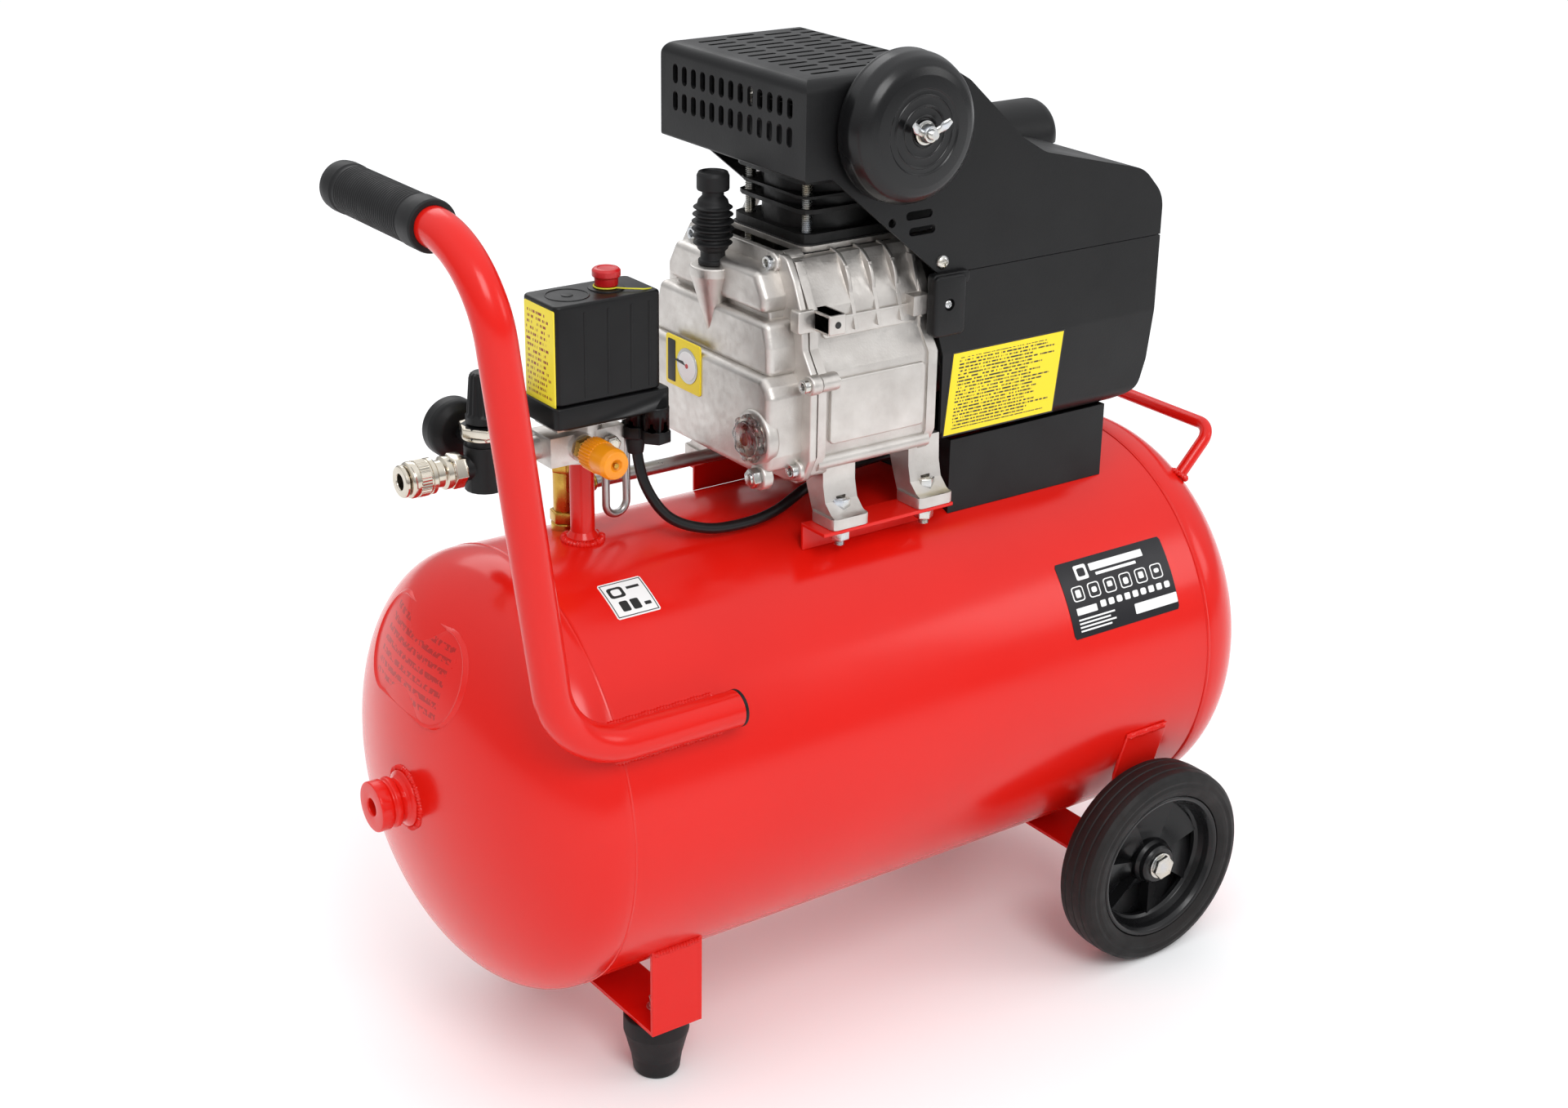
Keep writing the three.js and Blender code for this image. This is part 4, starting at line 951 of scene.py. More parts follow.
    def build(self, shop: Workshop) -> None:
        """Makes the tank and what is welded or stuck to it."""
        shop.make("tank_body", revolve(Axis.X, self.profile(), (0, self.z), 160), RED_PAINT,
                  "receiver_shell", True)
        seams = [sweep(self.around(s * (self.seam - 6), self.radius - 0.6, 0, 360, 220), 1.7, 8) for s in (-1, 1)]
        shop.make("seam_beads", together(seams), RED_PAINT, "receiver_shell")
        # the plate's paint is darkened in its stamped marks as painted shade
        stamped = StampedPaint("stamped_red_powder_coat", "red_paint", RED_PAINT.colour, RED_PAINT.tint, 0.3,
                               0.03, patch=90, wander=30, relief=0.6, specular=0.4, rows=9, letters=34)
        shop.make("stamped_plate", self.plate(), stamped, "rating_plate", True)
        tip = -self.seam - self.head
        boss = fillet([(0, tip + 5), (20, tip + 5), (20, tip - 2.5), (17.2, tip - 4.2), (15.6, tip - 6),
                       (15.6, tip - 9), (18, tip - 10.5), (18, tip - 14), (16.6, tip - 15), (16.6, tip - 16.4),
                       (18, tip - 17.4), (18, tip - 25.9), (6.2, tip - 25.9), (6.2, tip - 12), (0, tip - 12)],
                      1.1, 4)
        shop.make("end_boss_turned", revolve(Axis.X, boss, (0, self.z), 64), RED_PAINT, "end_boss", True)
        beads = [bead(self.on_head(21.0, 0, 360), 2.4)]
        shop.make("boss_bead", together(beads), RED_PAINT, "end_boss")
        self.stickers(shop)

    def on_head(self, radius: float, start: float, end: float) -> Array:
        """A circle round the axis, lying on the left head."""
        x = -self.seam - self.head * math.sqrt(1 - (radius / self.radius) ** 2)
        return self.around(x, radius, start, end, 60)

    def stickers(self, shop: Workshop) -> None:
        """The black data sticker with plain icons, and the small white one."""
        shop.make("data_sticker", self.sticker(129, 236, 49.2, 70.0), BLACK_VINYL, "receiver_shell")
        icons = [self.sticker(136 + 16 * i, 147.5 + 16 * i, 56.2, 60.3, 2.4, 0.45) for i in range(6)]
        shop.make("sticker_icons", together(icons), WHITE_PRINT, "receiver_shell")
        inner = [self.sticker(137 + 16 * i, 146.5 + 16 * i, 56.5, 60.0, 1.8, 0.52) for i in range(6)]
        shop.make("sticker_icon_fields", together(inner), BLACK_VINYL, "receiver_shell")
        marks = [self.sticker(139.2 + 16 * i, 144.2 + 16 * i, 57.2 + 0.3 * (i % 2), 59.3 - 0.3 * (i % 3),
                              1.0 + 0.5 * (i % 2), 0.6) for i in range(6)]
        shop.make("sticker_icon_marks", together(marks), WHITE_PRINT, "receiver_shell")
        title = [self.sticker(145, 157, 50.8, 54.9, 1.2, 0.45), self.sticker(160, 214, 51.2, 53.2, 0.6, 0.45),
                 self.sticker(164, 205, 53.9, 54.7, 0.4, 0.45)]
        shop.make("sticker_title_bars", together(title), WHITE_PRINT, "receiver_shell")
        shop.make("sticker_title_mark", self.sticker(147.4, 154.6, 51.7, 54.0, 1.5, 0.55), BLACK_VINYL,
                  "receiver_shell")
        signs = [self.sticker(160 + 8.2 * i, 165.5 + 8.2 * i, 61.6, 63.4, 0.9 + 0.3 * (i % 3), 0.45)
                 for i in range(9)]
        shop.make("sticker_small_signs", together(signs + [self.sticker(136, 156, 62.0, 63.9, 0.5, 0.45)]),
                  WHITE_PRINT, "receiver_shell")
        lines = [self.sticker(136, 172 - 5 * (i % 2), 65.0 + i, 65.45 + i, 0.2, 0.45) for i in range(4)]
        shop.make("sticker_small_print", together(lines), WHITE_PRINT, "receiver_shell")
        shop.make("sticker_white_field", self.sticker(192, 235.5, 65.2, 68.0, 0.6, 0.5), WHITE_PRINT,
                  "receiver_shell")
        shop.make("noise_sticker", self.sticker(-228, -194, 20.8, 32.2, 1.0), WHITE_PRINT, "receiver_shell")
        frame = [self.sticker(-227, -195, 21.2, 21.45, 0.1, 0.45), self.sticker(-227, -195, 31.55, 31.8, 0.1, 0.45),
                 self.sticker(-227, -226.3, 21.2, 31.8, 0.1, 0.45), self.sticker(-195.7, -195, 21.2, 31.8, 0.1, 0.45),
                 self.sticker(-224, -212, 22.6, 26.0, 2.2, 0.45), self.sticker(-209, -199, 23.2, 24.0, 0.3, 0.45),
                 self.sticker(-221, -214.5, 27.2, 30.4, 1.2, 0.45), self.sticker(-212.5, -206, 27.2, 30.4, 1.2, 0.45),
                 self.sticker(-203, -198, 28.9, 29.9, 0.4, 0.45)]
        shop.make("noise_sticker_print", together(frame), BLACK_INK_AND_PAINTED_SHADE, "receiver_shell")
        shop.make("noise_sticker_icon", self.sticker(-221.5, -214.5, 23.3, 25.3, 1.6, 0.55), WHITE_PRINT,
                  "receiver_shell")


@dataclass(frozen=True)
class StampedPaint(Printed):
    """Powder coat over steel stamped with lines of marks too worn to read."""

    def colours(self, tree: bpy.types.NodeTree, where: bpy.types.NodeSocket) -> bpy.types.NodeSocket:
        """The paint, darker in the stamped marks: painted shade of their relief."""
        mix = add(tree, "ShaderNodeMix", {"data_type": "RGBA"}, {"Factor": self.height(tree, where)})
        tree.links.new(Finish.colours(self, tree, where), mix.inputs[6])
        # a8110b is painted shade: the marks are darkened as their relief would shade them
        mix.inputs[7].default_value = linear("#a8110b")
        return mix.outputs[2]

    def height(self, tree: bpy.types.NodeTree, where: bpy.types.NodeSocket) -> bpy.types.NodeSocket:
        """The stamped marks' height: noise along each row, in the row's middle band."""
        own = add(tree, "ShaderNodeUVMap", {"uv_map": "UVMap"}).outputs["UV"]
        parts = add(tree, "ShaderNodeSeparateXYZ", links={"Vector": own}).outputs
        row = self.maths(tree, "MULTIPLY", parts["Y"], self.rows)
        band = self.maths(tree, "FRACT", row)
        line = self.maths(tree, "MULTIPLY", self.maths(tree, "GREATER_THAN", band, 0.25),
                          self.maths(tree, "LESS_THAN", band, 0.75))
        place = add(tree, "ShaderNodeCombineXYZ", links={
            "X": self.maths(tree, "MULTIPLY", parts["X"], self.letters),
            "Y": self.maths(tree, "MULTIPLY", row, 1.4)}).outputs["Vector"]
        words = add(tree, "ShaderNodeTexNoise", {"Scale": 1.3, "Detail": 2.0}, {"Vector": place})
        mask = self.maths(tree, "MULTIPLY", line, self.maths(tree, "GREATER_THAN", words.outputs["Fac"], 0.47))
        for value in (self.maths(tree, "GREATER_THAN", parts["X"], 0.16),
                      self.maths(tree, "LESS_THAN", parts["X"], 0.84),
                      self.maths(tree, "GREATER_THAN", parts["Y"], 0.12),
                      self.maths(tree, "LESS_THAN", parts["Y"], 0.88)):
            mask = self.maths(tree, "MULTIPLY", mask, value)
        return mask


# ---- feet, wheels and handles -------------------------------------------------------------------
@dataclass
class Undercarriage:
    """Straps, rubber feet and the two wheels."""

    wheel_x: float = 205.0
    wheel_r: float = 81.0
    rim_r: float = 59.7
    inner: float = 153.0
    outer: float = 189.0
    spokes: int = 7
    foot_x: float = -203.0
    foot_y: float = 90.0

    def build(self, shop: Workshop) -> None:
        """Makes both sides."""
        for node in ("front_foot_strap", "wheel_strap"):
            shop.refine(node, RED_PAINT, 0.8)
        self.strap_beads(shop)
        for side, way in (("near", -1), ("far", 1)):
            self.foot(shop, side, way)
            self.wheel(shop, side, way)

    def strap_beads(self, shop: Workshop) -> None:
        """Fillet welds where the straps meet the tank: along each strap's upper ends."""
        for strap, x in (("front_foot_strap", self.foot_x), ("wheel_strap", self.wheel_x)):
            low, high = shop.box(strap)
            y = high[1] - 1.5
            z = Receiver.z - math.sqrt(max(Receiver.radius ** 2 - y ** 2, 1.0)) if y < Receiver.radius else high[2]
            runs = []
            for way in (-1, 1):
                level = high[2] - 3
                reach = math.sqrt(max(Receiver.radius ** 2 - (level - Receiver.z) ** 2, 0)) + 1.0
                runs.append(bead(np.array([[x - 21, way * reach, level], [x + 21, way * reach, level]], float), 2.6))
            shop.make(f"{strap}_beads", together(runs), RED_PAINT, strap)
            LOG.debug("strap %s meets the tank at z %.1f", strap, z)

    def foot(self, shop: Workshop, side: str, way: int) -> None:
        """A stepped rubber foot with a steel washer and bolt moulded in, and the strap's bolt."""
        low, high = shop.box(f"front_foot_{side}")
        top = high[2]
        profile = fillet([(0, 9), (5, 9), (5, 0), (15.6, 0), (17, 2.2), (18.6, 14), (22.6, 30), (24, 35), (24, top), (0, top)],
                         1.4, 5)
        centre = (self.foot_x, way * self.foot_y)
        shop.make(f"rubber_foot_{side}", revolve(Axis.Z, profile, centre, 64), SOFT_RUBBER,
                  f"front_foot_{side}", True)
        hidden = rod(Axis.Z, 4.6, 6, 8.6, centre) + rod(Axis.Z, 7.5, 8.4, 9.4, centre)
        shop.make(f"foot_insert_{side}", hidden, ZINC_PLATE, f"front_foot_{side}")
        bolt = bolt_head(Axis.Z, 10.0, top + 3.2, 1, centre, 7.0, 10)
        shop.make(f"foot_bolt_{side}", bolt, ZINC_PLATE, "front_foot_strap")

    def wheel(self, shop: Workshop, side: str, way: int) -> None:
        """A solid tyre with grooves, and a rim dished round seven blades."""
        centre = (self.wheel_x, self.wheel_r)

        def both(profile: list[tuple[float, float]]) -> list[tuple[float, float]]:
            """A profile (radius, distance out from the tank) on this wheel's side."""
            return [(r, way * h) for r, h in profile]

        r, rim_r, inner, outer = self.wheel_r, self.rim_r, self.inner, self.outer
        tread = [(rim_r + 0.2, inner + 2), (rim_r + 6, inner + 0.3), (r - 8, inner), (r - 3.5, inner + 1.2),
                 (r - 1.0, inner + 4.2), (r - 0.3, inner + 9), (r - 1.3, inner + 9.8), (r - 0.1, inner + 10.6),
                 (r, inner + 17), (r - 1.1, inner + 17.8), (r, inner + 18.6), (r - 0.1, inner + 25.4),
                 (r - 1.3, inner + 26.2), (r - 0.4, inner + 27), (r - 1.2, outer - 4), (r - 4, outer - 1.2),
                 (r - 8, outer - 0.1), (r - 10.5, outer - 1.1), (r - 13, outer - 0.3), (r - 16, outer - 0.6),
                 (rim_r + 2.5, outer - 1.6), (rim_r + 0.2, outer - 3.0)]
        tread.append(tread[0])
        line = fillet(both(tread), 1.0, 3)
        shop.make(f"tyre_{side}_moulded", revolve(Axis.Y, line, centre, 128), TYRE_RUBBER, f"tyre_{side}", True)
        rim = [(52.2, inner + 3), (rim_r - 0.1, inner + 3), (rim_r - 0.1, outer - 3.6), (58.4, outer - 2.6),
               (56, outer - 3.4), (54, outer - 6.6), (52.6, 178), (50.6, 173.4), (48.4, 171.6), (48.4, 168),
               (52.2, 166), (52.2, inner + 3)]
        hub = [(6.4, inner + 1), (15, inner + 1), (15, 166), (18.6, 168), (18.6, 174.6), (16.6, 177.4), (15.8, 181),
               (14, 183), (6.4, 183), (6.4, inner + 1)]
        shape = together([revolve(Axis.Y, fillet(both(rim), [0.4, 0.6, 0.9, 1.2, 2, 3, 4, 2, 0.4, 0.4, 0.4, 0.4], 4),
                                  centre, 144),
                          revolve(Axis.Y, fillet(both(hub), 0.8, 3), centre, 96), self.blades(way)])
        shop.make(f"rim_{side}_moulded", shape, GLOSS_BLACK, f"wheel_rim_{side}", True, smooth=32)
        back = fillet(both([(15.2, 155.4), (52, 155.4), (52, 157), (15.2, 157), (15.2, 155.4)]), 0.4, 2)
        shop.make(f"rim_{side}_back", revolve(Axis.Y, back, centre, 96), GLOSS_BLACK, f"wheel_rim_{side}")
        washer = rod(Axis.Y, 10.6, *sorted((way * 183.2, way * 184.6)), centre, 0.4)
        head = bolt_head(Axis.Y, 17.0, way * 184.6, way, centre, 0, 12)
        scale = (self.outer - 184.6) / 9.7
        head.points[:, 1] = way * (184.6 + (head.points[:, 1] * way - 184.6) * min(1.0, scale))
        shank = rod(Axis.Y, 5.8, *sorted((way * 139.0, way * 184.0)), centre, 0.5)
        nut = bolt_head(Axis.Y, 17.0, way * 140.5, -way, centre, 0, 4)
        shop.make(f"axle_bolt_{side}_head", washer + head + shank + nut, ZINC_PLATE, f"axle_bolt_{side}", True)

    def blades(self, way: int) -> Shape:
        """The pinwheel between hub and rim: seven facets, each leaning down to a step.

        Within a facet the face lies deeper the further round it is, by a share that grows from the hub.
        """
        share = np.concatenate([np.linspace(0, 1, 14), [1.0]])
        turn = []
        for facet in range(self.spokes):
            turn += [(facet + s * 0.985, s) for s in share[:-1]]
        angle = np.array([2 * math.pi * t / self.spokes + 0.25 for t, _ in turn])
        lean = np.array([s for _, s in turn])
        rings = []
        for r in np.linspace(17.0, 49.5, 12):
            depth = 172.6 - 9.5 * lean * min(1.0, (r - 12) / 14)
            rings.append((r, depth))
        rings += [(49.5, np.full(len(lean), 160.0)), (17.0, np.full(len(lean), 160.0))]
        points = [np.stack([self.wheel_x + r * np.cos(angle), way * depth, self.wheel_r + r * np.sin(angle)], 1)
                  for r, depth in rings]
        return Shape(np.vstack(points), grid_faces(len(rings), len(angle), True, True))


@dataclass
class Handles:
    """The bent push handle with its plug and grip, and the small lifting bar."""

    tube_r: float = 12.7
    y: float = -151.0
    z: float = 310.0
    end_x: float = -178.0
    bend_x: float = -312.0
    top: float = 650.0
    lean: float = -0.13
    grip: tuple[float, float] = (-92.0, 32.0)

    def build(self, shop: Workshop) -> None:
        """Makes both handles."""
        top_x = self.bend_x + self.lean * (self.top - self.z)
        corners = [(self.end_x, self.y, self.z), (self.bend_x, self.y, self.z), (top_x, self.y, self.top),
                   (top_x, self.grip[1] - 6, self.top)]
        line = bend(corners, 58, 22)
        shop.make("push_handle_tube", sweep(line, self.tube_r, 48), RED_PAINT, "push_handle", True)
        rim = revolve(Axis.X, fillet([(11.2, self.end_x - 1), (12.7, self.end_x - 1), (12.7, self.end_x + 0.2),
                                      (11.2, self.end_x + 0.2), (11.2, self.end_x - 1)], 0.2, 2), (self.y, self.z), 64)
        shop.make("push_handle_rim", rim, RED_PAINT, "push_handle")
        plug = fillet([(0, self.end_x + 0.3), (12.9, self.end_x + 0.3), (12.9, self.end_x + 2.4),
                       (12.0, self.end_x + 3), (3, self.end_x + 3), (0, self.end_x + 3)], 0.5, 3)
        shop.make("handle_plug_cap", revolve(Axis.X, plug, (self.y, self.z), 64), SATIN_BLACK,
                  "handle_end_plug", True)
        self.build_grip(shop, top_x)
        angle = math.atan2(self.z - Receiver.z, -self.y)
        welds = []
        for away in (-0.075, 0.075):
            place = (-Receiver.radius * math.cos(angle + away) * 1.003,
                     Receiver.z + Receiver.radius * math.sin(angle + away) * 1.003)
            welds.append(bead(np.array([[self.end_x - 6, *place], [self.end_x - 92, *place]]), 2.6))
        shop.make("push_handle_beads", together(welds), RED_PAINT, "push_handle")
        feet = [(290.0, -78, 346.0), (331.0, -78, 389.0), (331.0, 78, 389.0), (290.0, 78, 346.0)]
        shop.make("lift_bar_bent", sweep(bend(feet, 14, 10), 5.0, 24), RED_PAINT, "lift_bar", True)
        self.lift_beads(shop)

    def build_grip(self, shop: Workshop, x: float) -> None:
        """The rubber grip: a ribbed sleeve between two smooth bands, closed at its far end."""
        near, far = self.grip
        r = 15.6
        profile = [(self.tube_r + 0.2, near), (r + 0.2, near), (r + 0.9, near + 1.5), (r + 0.9, near + 17),
                   (r - 0.1, near + 18.5)]
        ribs = np.arange(near + 20, far - 22, 2.6)
        for place in ribs:
            profile += [(r - 0.1, place), (r + 0.45, place + 0.7), (r + 0.45, place + 1.6), (r - 0.1, place + 2.2)]
        profile += [(r - 0.1, far - 18), (r + 0.8, far - 16.5), (r + 0.9, far - 8), (r + 0.4, far - 3),
                    (r - 2.2, far + 1.6), (r - 6, far + 3.4), (0, far + 4), (0, far - 5.4),
                    (self.tube_r + 0.2, far - 5.4), (self.tube_r + 0.2, near)]
        shop.make("grip_sleeve", revolve(Axis.Y, fillet(profile, 0.3, 2), (x, self.top), 96),
                  SOFT_RUBBER, "handle_grip", True, smooth=60)

    def lift_beads(self, shop: Workshop) -> None:
        """Weld beads round the lifting bar's two feet."""
        rings = []
        for y in (-78.0, 78.0):
            centre = np.array([297.5, y, 355.5])
            across, along = np.array([0.0, 1.0, 0.0]), np.array([0.78, 0.0, -0.62])
            t = np.linspace(0, 2 * math.pi, 30)[:, None]
            rings.append(bead(centre + 6.2 * (np.cos(t) * across + np.sin(t) * along), 2.2))
        shop.make("lift_bar_beads", together(rings), RED_PAINT, "lift_bar")


# ---- the pump -----------------------------------------------------------------------------------
@dataclass
class Pump:
    """Crankcase, cover, cylinder, head and what is screwed to them."""

    case: tuple[float, float] = (-70.0, 36.0)
    cylinder_x: float = -7.0
    stud: float = 34.0
    bolts: tuple[float, float] = (-42.0, 34.0)
    bolt_y: float = 82.0
    pad: float = 399.5
    flange: float = 388.3
    cone: tuple[float, float] = (-94.0, 3.0)
    glass: tuple[float, float] = (-64.0, 461.0)

    def build(self, shop: Workshop) -> None:
        """Makes the pump from the rails up."""
        for side in ("near", "far"):
            shop.refine(f"pump_rail_{side}", RED_PAINT, 0.7)
        shop.refine("crankcase", CAST_ALUMINIUM, 1.2)
        self.side_castings(shop)
        self.cover(shop)
        self.fastenings(shop)
        self.sight_glass(shop)
        self.breather(shop)
        self.cylinder(shop)
        for node in ("crankshaft", "motor_rotor"):
            shop.finish_node(node, MACHINED_STEEL)
        for node in ("connecting_rod", "piston", "motor_stator"):
            shop.finish_node(node, CAST_ALUMINIUM)
        shop.finish_node("cooling_fan", SATIN_BLACK)

    @staticmethod
    def mirrored(half: Sequence[Sequence[float]], corner: float) -> Array:
        """A rounded outline from its +Y half, given from its bottom to its top."""
        points = [*half, *[(-y, z) for y, z in half[::-1]]]
        return fillet(points, corner, 5, closed=True)

    def side_castings(self, shop: Workshop) -> None:
        """Raised panels, a ridge and curved ribs cast on the crankcase's two sides."""
        for side, way in (("near", -1), ("far", 1)):
            panels = []
            for y, z0, z1, proud in ((86.0, 453.0, 500.0, 2.4), (75.0, 526.0, 541.0, 2.0)):
                outline = rectangle(-57, 26, z0, z1, 4, 4)
                panels.append(slab(Axis.Y, outline, *sorted((way * (y - 4), way * (y + proud))), 1.6, 4))
            sill = sweep(np.array([[-66, way * 82.6, 440.0], [32, way * 82.6, 440.0]]), 5.6, 28)
            for x in (-30.0, -10.0, 10.0):
                t = np.linspace(0, math.pi / 2, 12)
                arc = [(way * (48 + 24 * math.sin(a)), 552 + 29 * math.cos(a)) for a in t]
                outline = fillet([*arc, (way * 46, 552)], 0.0, 1, closed=True)
                panels.append(slab(Axis.X, outline, x - 1.6, x + 1.6, 0.9, 3))
            shop.make(f"crankcase_castings_{side}", together([*panels, sill]), CAST_ALUMINIUM, "crankcase")

    def cover(self, shop: Workshop) -> None:
        """The stepped front cover: a flange and two rounded bulges, with a filler cone."""
        face = self.case[0] - 0.3
        flange = self.mirrored([(62, 423), (82, 428), (91, 446), (91, 506), (80, 522), (78, 546), (68, 568),
                                (58, 583)], 7)
        lower = self.mirrored([(58, 433), (77, 438), (81, 450), (81, 492), (77, 499), (70, 505)], 6)
        middle = self.mirrored([(72, 503), (71, 524), (66, 541)], 6)
        upper = self.mirrored([(60, 545), (60, 556), (50, 573)], 6)
        parts = [slab(Axis.X, flange, face - 6, face, 1.4, 3), slab(Axis.X, lower, -104, face - 1, 6, 6),
                 slab(Axis.X, middle, -98, face - 1, 5, 6), slab(Axis.X, upper, -95, face - 1, 5, 6),
                 slab(Axis.X, self.mirrored([(60, 436), (64, 506), (52, 570)], 6), -88, face - 1, 2, 3)]
        for y, z in ((46, 577), (91, 501), (78, 436)):
            for way in (-1, 1):
                parts.append(rod(Axis.X, 7, face - 9, face + 0.1, (way * y, z), 1.6, 32))
        cone = fillet([(0, 512), (2.5, 515), (14.2, 555), (16, 560), (16, 566.6), (6.8, 566.6), (6.8, 556), (0, 556)],
                      1.2, 4)
        parts.append(revolve(Axis.Z, cone, self.cone, 48))
        parts.append(rod(Axis.X, 20, -106, -96, self.glass, 2.2, 64))
        parts.append(rod(Axis.X, 9.5, -104.4, -96, (-68, 433), 1.5, 40))
        boss = [slab(Axis.Y, rectangle(-80, -66, 534, 550, 2, 3), *sorted((way * 70, way * 80)), 1)
                for way in (-1, 1)]
        shop.make("cover_cast", together(parts + boss), CAST_ALUMINIUM, "crankcase_cover", True, bevel=0.6)
        plate = block((-105.0, -103.7), (2, 46), (471, 508), 2.4, 0.3, Axis.X)
        shop.make("level_sticker", plate, YELLOW_VINYL, "crankcase_cover")
        dial = rod(Axis.X, 13.0, -105.5, -104.6, (18, 490), 0.2, 48)
        face_disc = rod(Axis.X, 10.6, -105.8, -105.2, (18, 490), 0.1, 48)
        shop.make("level_sticker_ring", dial, DRAWN_ALUMINIUM, "crankcase_cover")
        shop.make("level_sticker_dial", face_disc, WHITE_PRINT, "crankcase_cover")
        dot = rod(Axis.X, 1.7, -106.1, -105.7, (18, 490), 0.1, 24)
        shop.make("level_sticker_dot", dot, RED_PLASTIC, "crankcase_cover")
        dark = block((-105.3, -104.6), (33.5, 43), (474, 505), 1.0, 0.1, Axis.X)
        arrow = slab(Axis.X, [(33.5, 491.1), (19.5, 490.1), (23.0, 492.6), (33.5, 491.9)], -106.1, -105.5)
        shop.make("level_sticker_print", dark + arrow, BLACK_INK_AND_PAINTED_SHADE, "crankcase_cover")

    def fastenings(self, shop: Workshop) -> None:
        """Pump bolts with washers and nuts, and the cover's socket screws."""
        for number, x in enumerate(self.bolts):
            for side, way in (("near", -1), ("far", 1)):
                centre = (x, way * self.bolt_y)
                head = bolt_head(Axis.Z, 12.6, self.pad, 1, centre, 9.0, 14 + 19 * number)
                shank = threaded(Axis.Z, 3.9, self.flange - 14, self.pad + 1, centre, 1.3)
                nut = bolt_head(Axis.Z, 12.6, self.flange, -1, centre, 8.0, 5 + 23 * number)
                shop.make(f"pump_bolt_{side}_{number + 1}", head + shank + nut, ZINC_PLATE, "crankcase")
        face = self.case[0] - 9.3
        for y, z in ((46, 577), (91, 501), (78, 436)):
            for side, way in (("near", -1), ("far", 1)):
                ring_profile = fillet([(0, face + 0.6), (2.3, face + 0.6), (2.6, face - 4.6), (4.9, face - 4.6),
                                       (4.9, face + 0.2), (0, face + 0.2)], 0.5, 3)
                screw = revolve(Axis.X, ring_profile, (way * y, z), 36)
                tail = rod(Axis.X, 3.0, self.case[0] + 5, self.case[0] + 17, (way * y, z), 0.4, 24)
                shop.make(f"cover_screw_{side}_{z}", screw + tail, ZINC_PLATE, "crankcase_cover")
        lug = block((-66, -52), (-96.5, -72), (535, 549), 1.6, 1.2, Axis.Y)
        shop.make("crankcase_lug", lug, CAST_ALUMINIUM, "crankcase")
        # a black disc on the lug stands in for its hole: painted shade, not a real opening
        shop.make("crankcase_lug_hole_painted_shade", rod(Axis.Y, 2.4, -96.9, -96.0, (-59, 542), 0.1, 32), BLACK_INK_AND_PAINTED_SHADE, "crankcase")

    def sight_glass(self, shop: Workshop) -> None:
        """The clear oil window with its fluted rim and red dot, and the drain plug under it."""
        y, z = self.glass
        t = np.linspace(0, 2 * math.pi, 180, endpoint=False)
        outline = np.stack([y + (16.4 + 0.8 * np.cos(9 * t)) * np.cos(t), z + (16.4 + 0.8 * np.cos(9 * t)) * np.sin(t)], 1)
        rim = slab(Axis.X, outline, -111.5, -106.2, 1.4, 4)
        dome = fillet([(0, -115.4), (9, -115), (12.4, -112.6), (12.8, -108), (0, -108)], 1.6, 5)
        shop.make("oil_window", rim + revolve(Axis.X, dome, (y, z), 64), CLEAR_PLASTIC, "oil_sight_glass", True)
        back = rod(Axis.X, 15.4, -106.9, -106.1, (y, z), 0.2, 64)
        shop.make("oil_window_back", back, ZINC_PLATE, "oil_sight_glass")
        shop.make("oil_window_dot", rod(Axis.X, 4.4, -108.6, -106.6, (y, z), 0.5, 40), RED_PLASTIC,
                  "oil_sight_glass")
        plug = hexagon(Axis.X, 12.5, -110.5, -104.5, (-68, 433), 12, 0.8) + rod(Axis.X, 4.2, -112, -104, (-68, 433), 0.8)
        shop.make("oil_drain_plug_head", plug, ZINC_PLATE, "oil_drain_plug", True)

    def breather(self, shop: Workshop) -> None:
        """The corrugated oil filler and breather: each fold swells and closes once."""
        profile = [(0, 553), (6.2, 553), (6.2, 567), (10.2, 567.2), (10.2, 570), (8.6, 571), (8.6, 576), (10.6, 578)]
        level = 580.0
        for fold in range(6):
            swell = 15.2 - 0.5 * abs(fold - 2.5)
            profile += [(11.2, level), (swell - 0.6, level + 1.5), (swell, level + 2.0), (swell - 0.8, level + 2.6),
                        (11.6, level + 3.4), (11.0, level + 4.6)]
            level += 5.0
        profile += [(10.4, 612), (7.6, 615), (7.6, 618.4), (11.0, 619), (11.4, 620), (11.4, 629), (10.2, 631.6),
                    (7.4, 632), (7.0, 630.8), (0, 630.8)]
        shop.make("oil_breather_boot", revolve(Axis.Z, fillet(profile, 0.5, 2), self.cone, 72), SOFT_RUBBER,
                  "oil_breather", True, smooth=70)

    def cylinder(self, shop: Workshop) -> None:
        """Barrel, head, gaskets and four long studs with nuts."""
        shop.refine("cylinder", BLACK_IRON, 0.8)
        shop.refine("cylinder_head", BLACK_IRON, 0.7)
        x = self.cylinder_x
        gasket = block((x - 45, x + 45), (-45, 45), (583.1, 583.9), 9, 0.2)
        bore = rod(Axis.Z, 27.5, 580, 587, (x, 0), 0.1, 64)
        shop.make("cylinder_gasket", gasket, BLACK_INK_AND_PAINTED_SHADE, "crankcase", holes=bore)
        number = 0
        for sx in (-1, 1):
            for sy in (-1, 1):
                number += 1
                centre = (x + sx * self.stud, sy * self.stud)
                stud = threaded(Axis.Z, 3.95, 567, 684, centre, 1.4)
                nut = hexagon(Axis.Z, 12.1, 674.5, 681, centre, 15 * number, 0.8)
                shop.make(f"head_stud_{number}_threaded", stud + nut, ZINC_PLATE, f"head_stud_{number}", True)


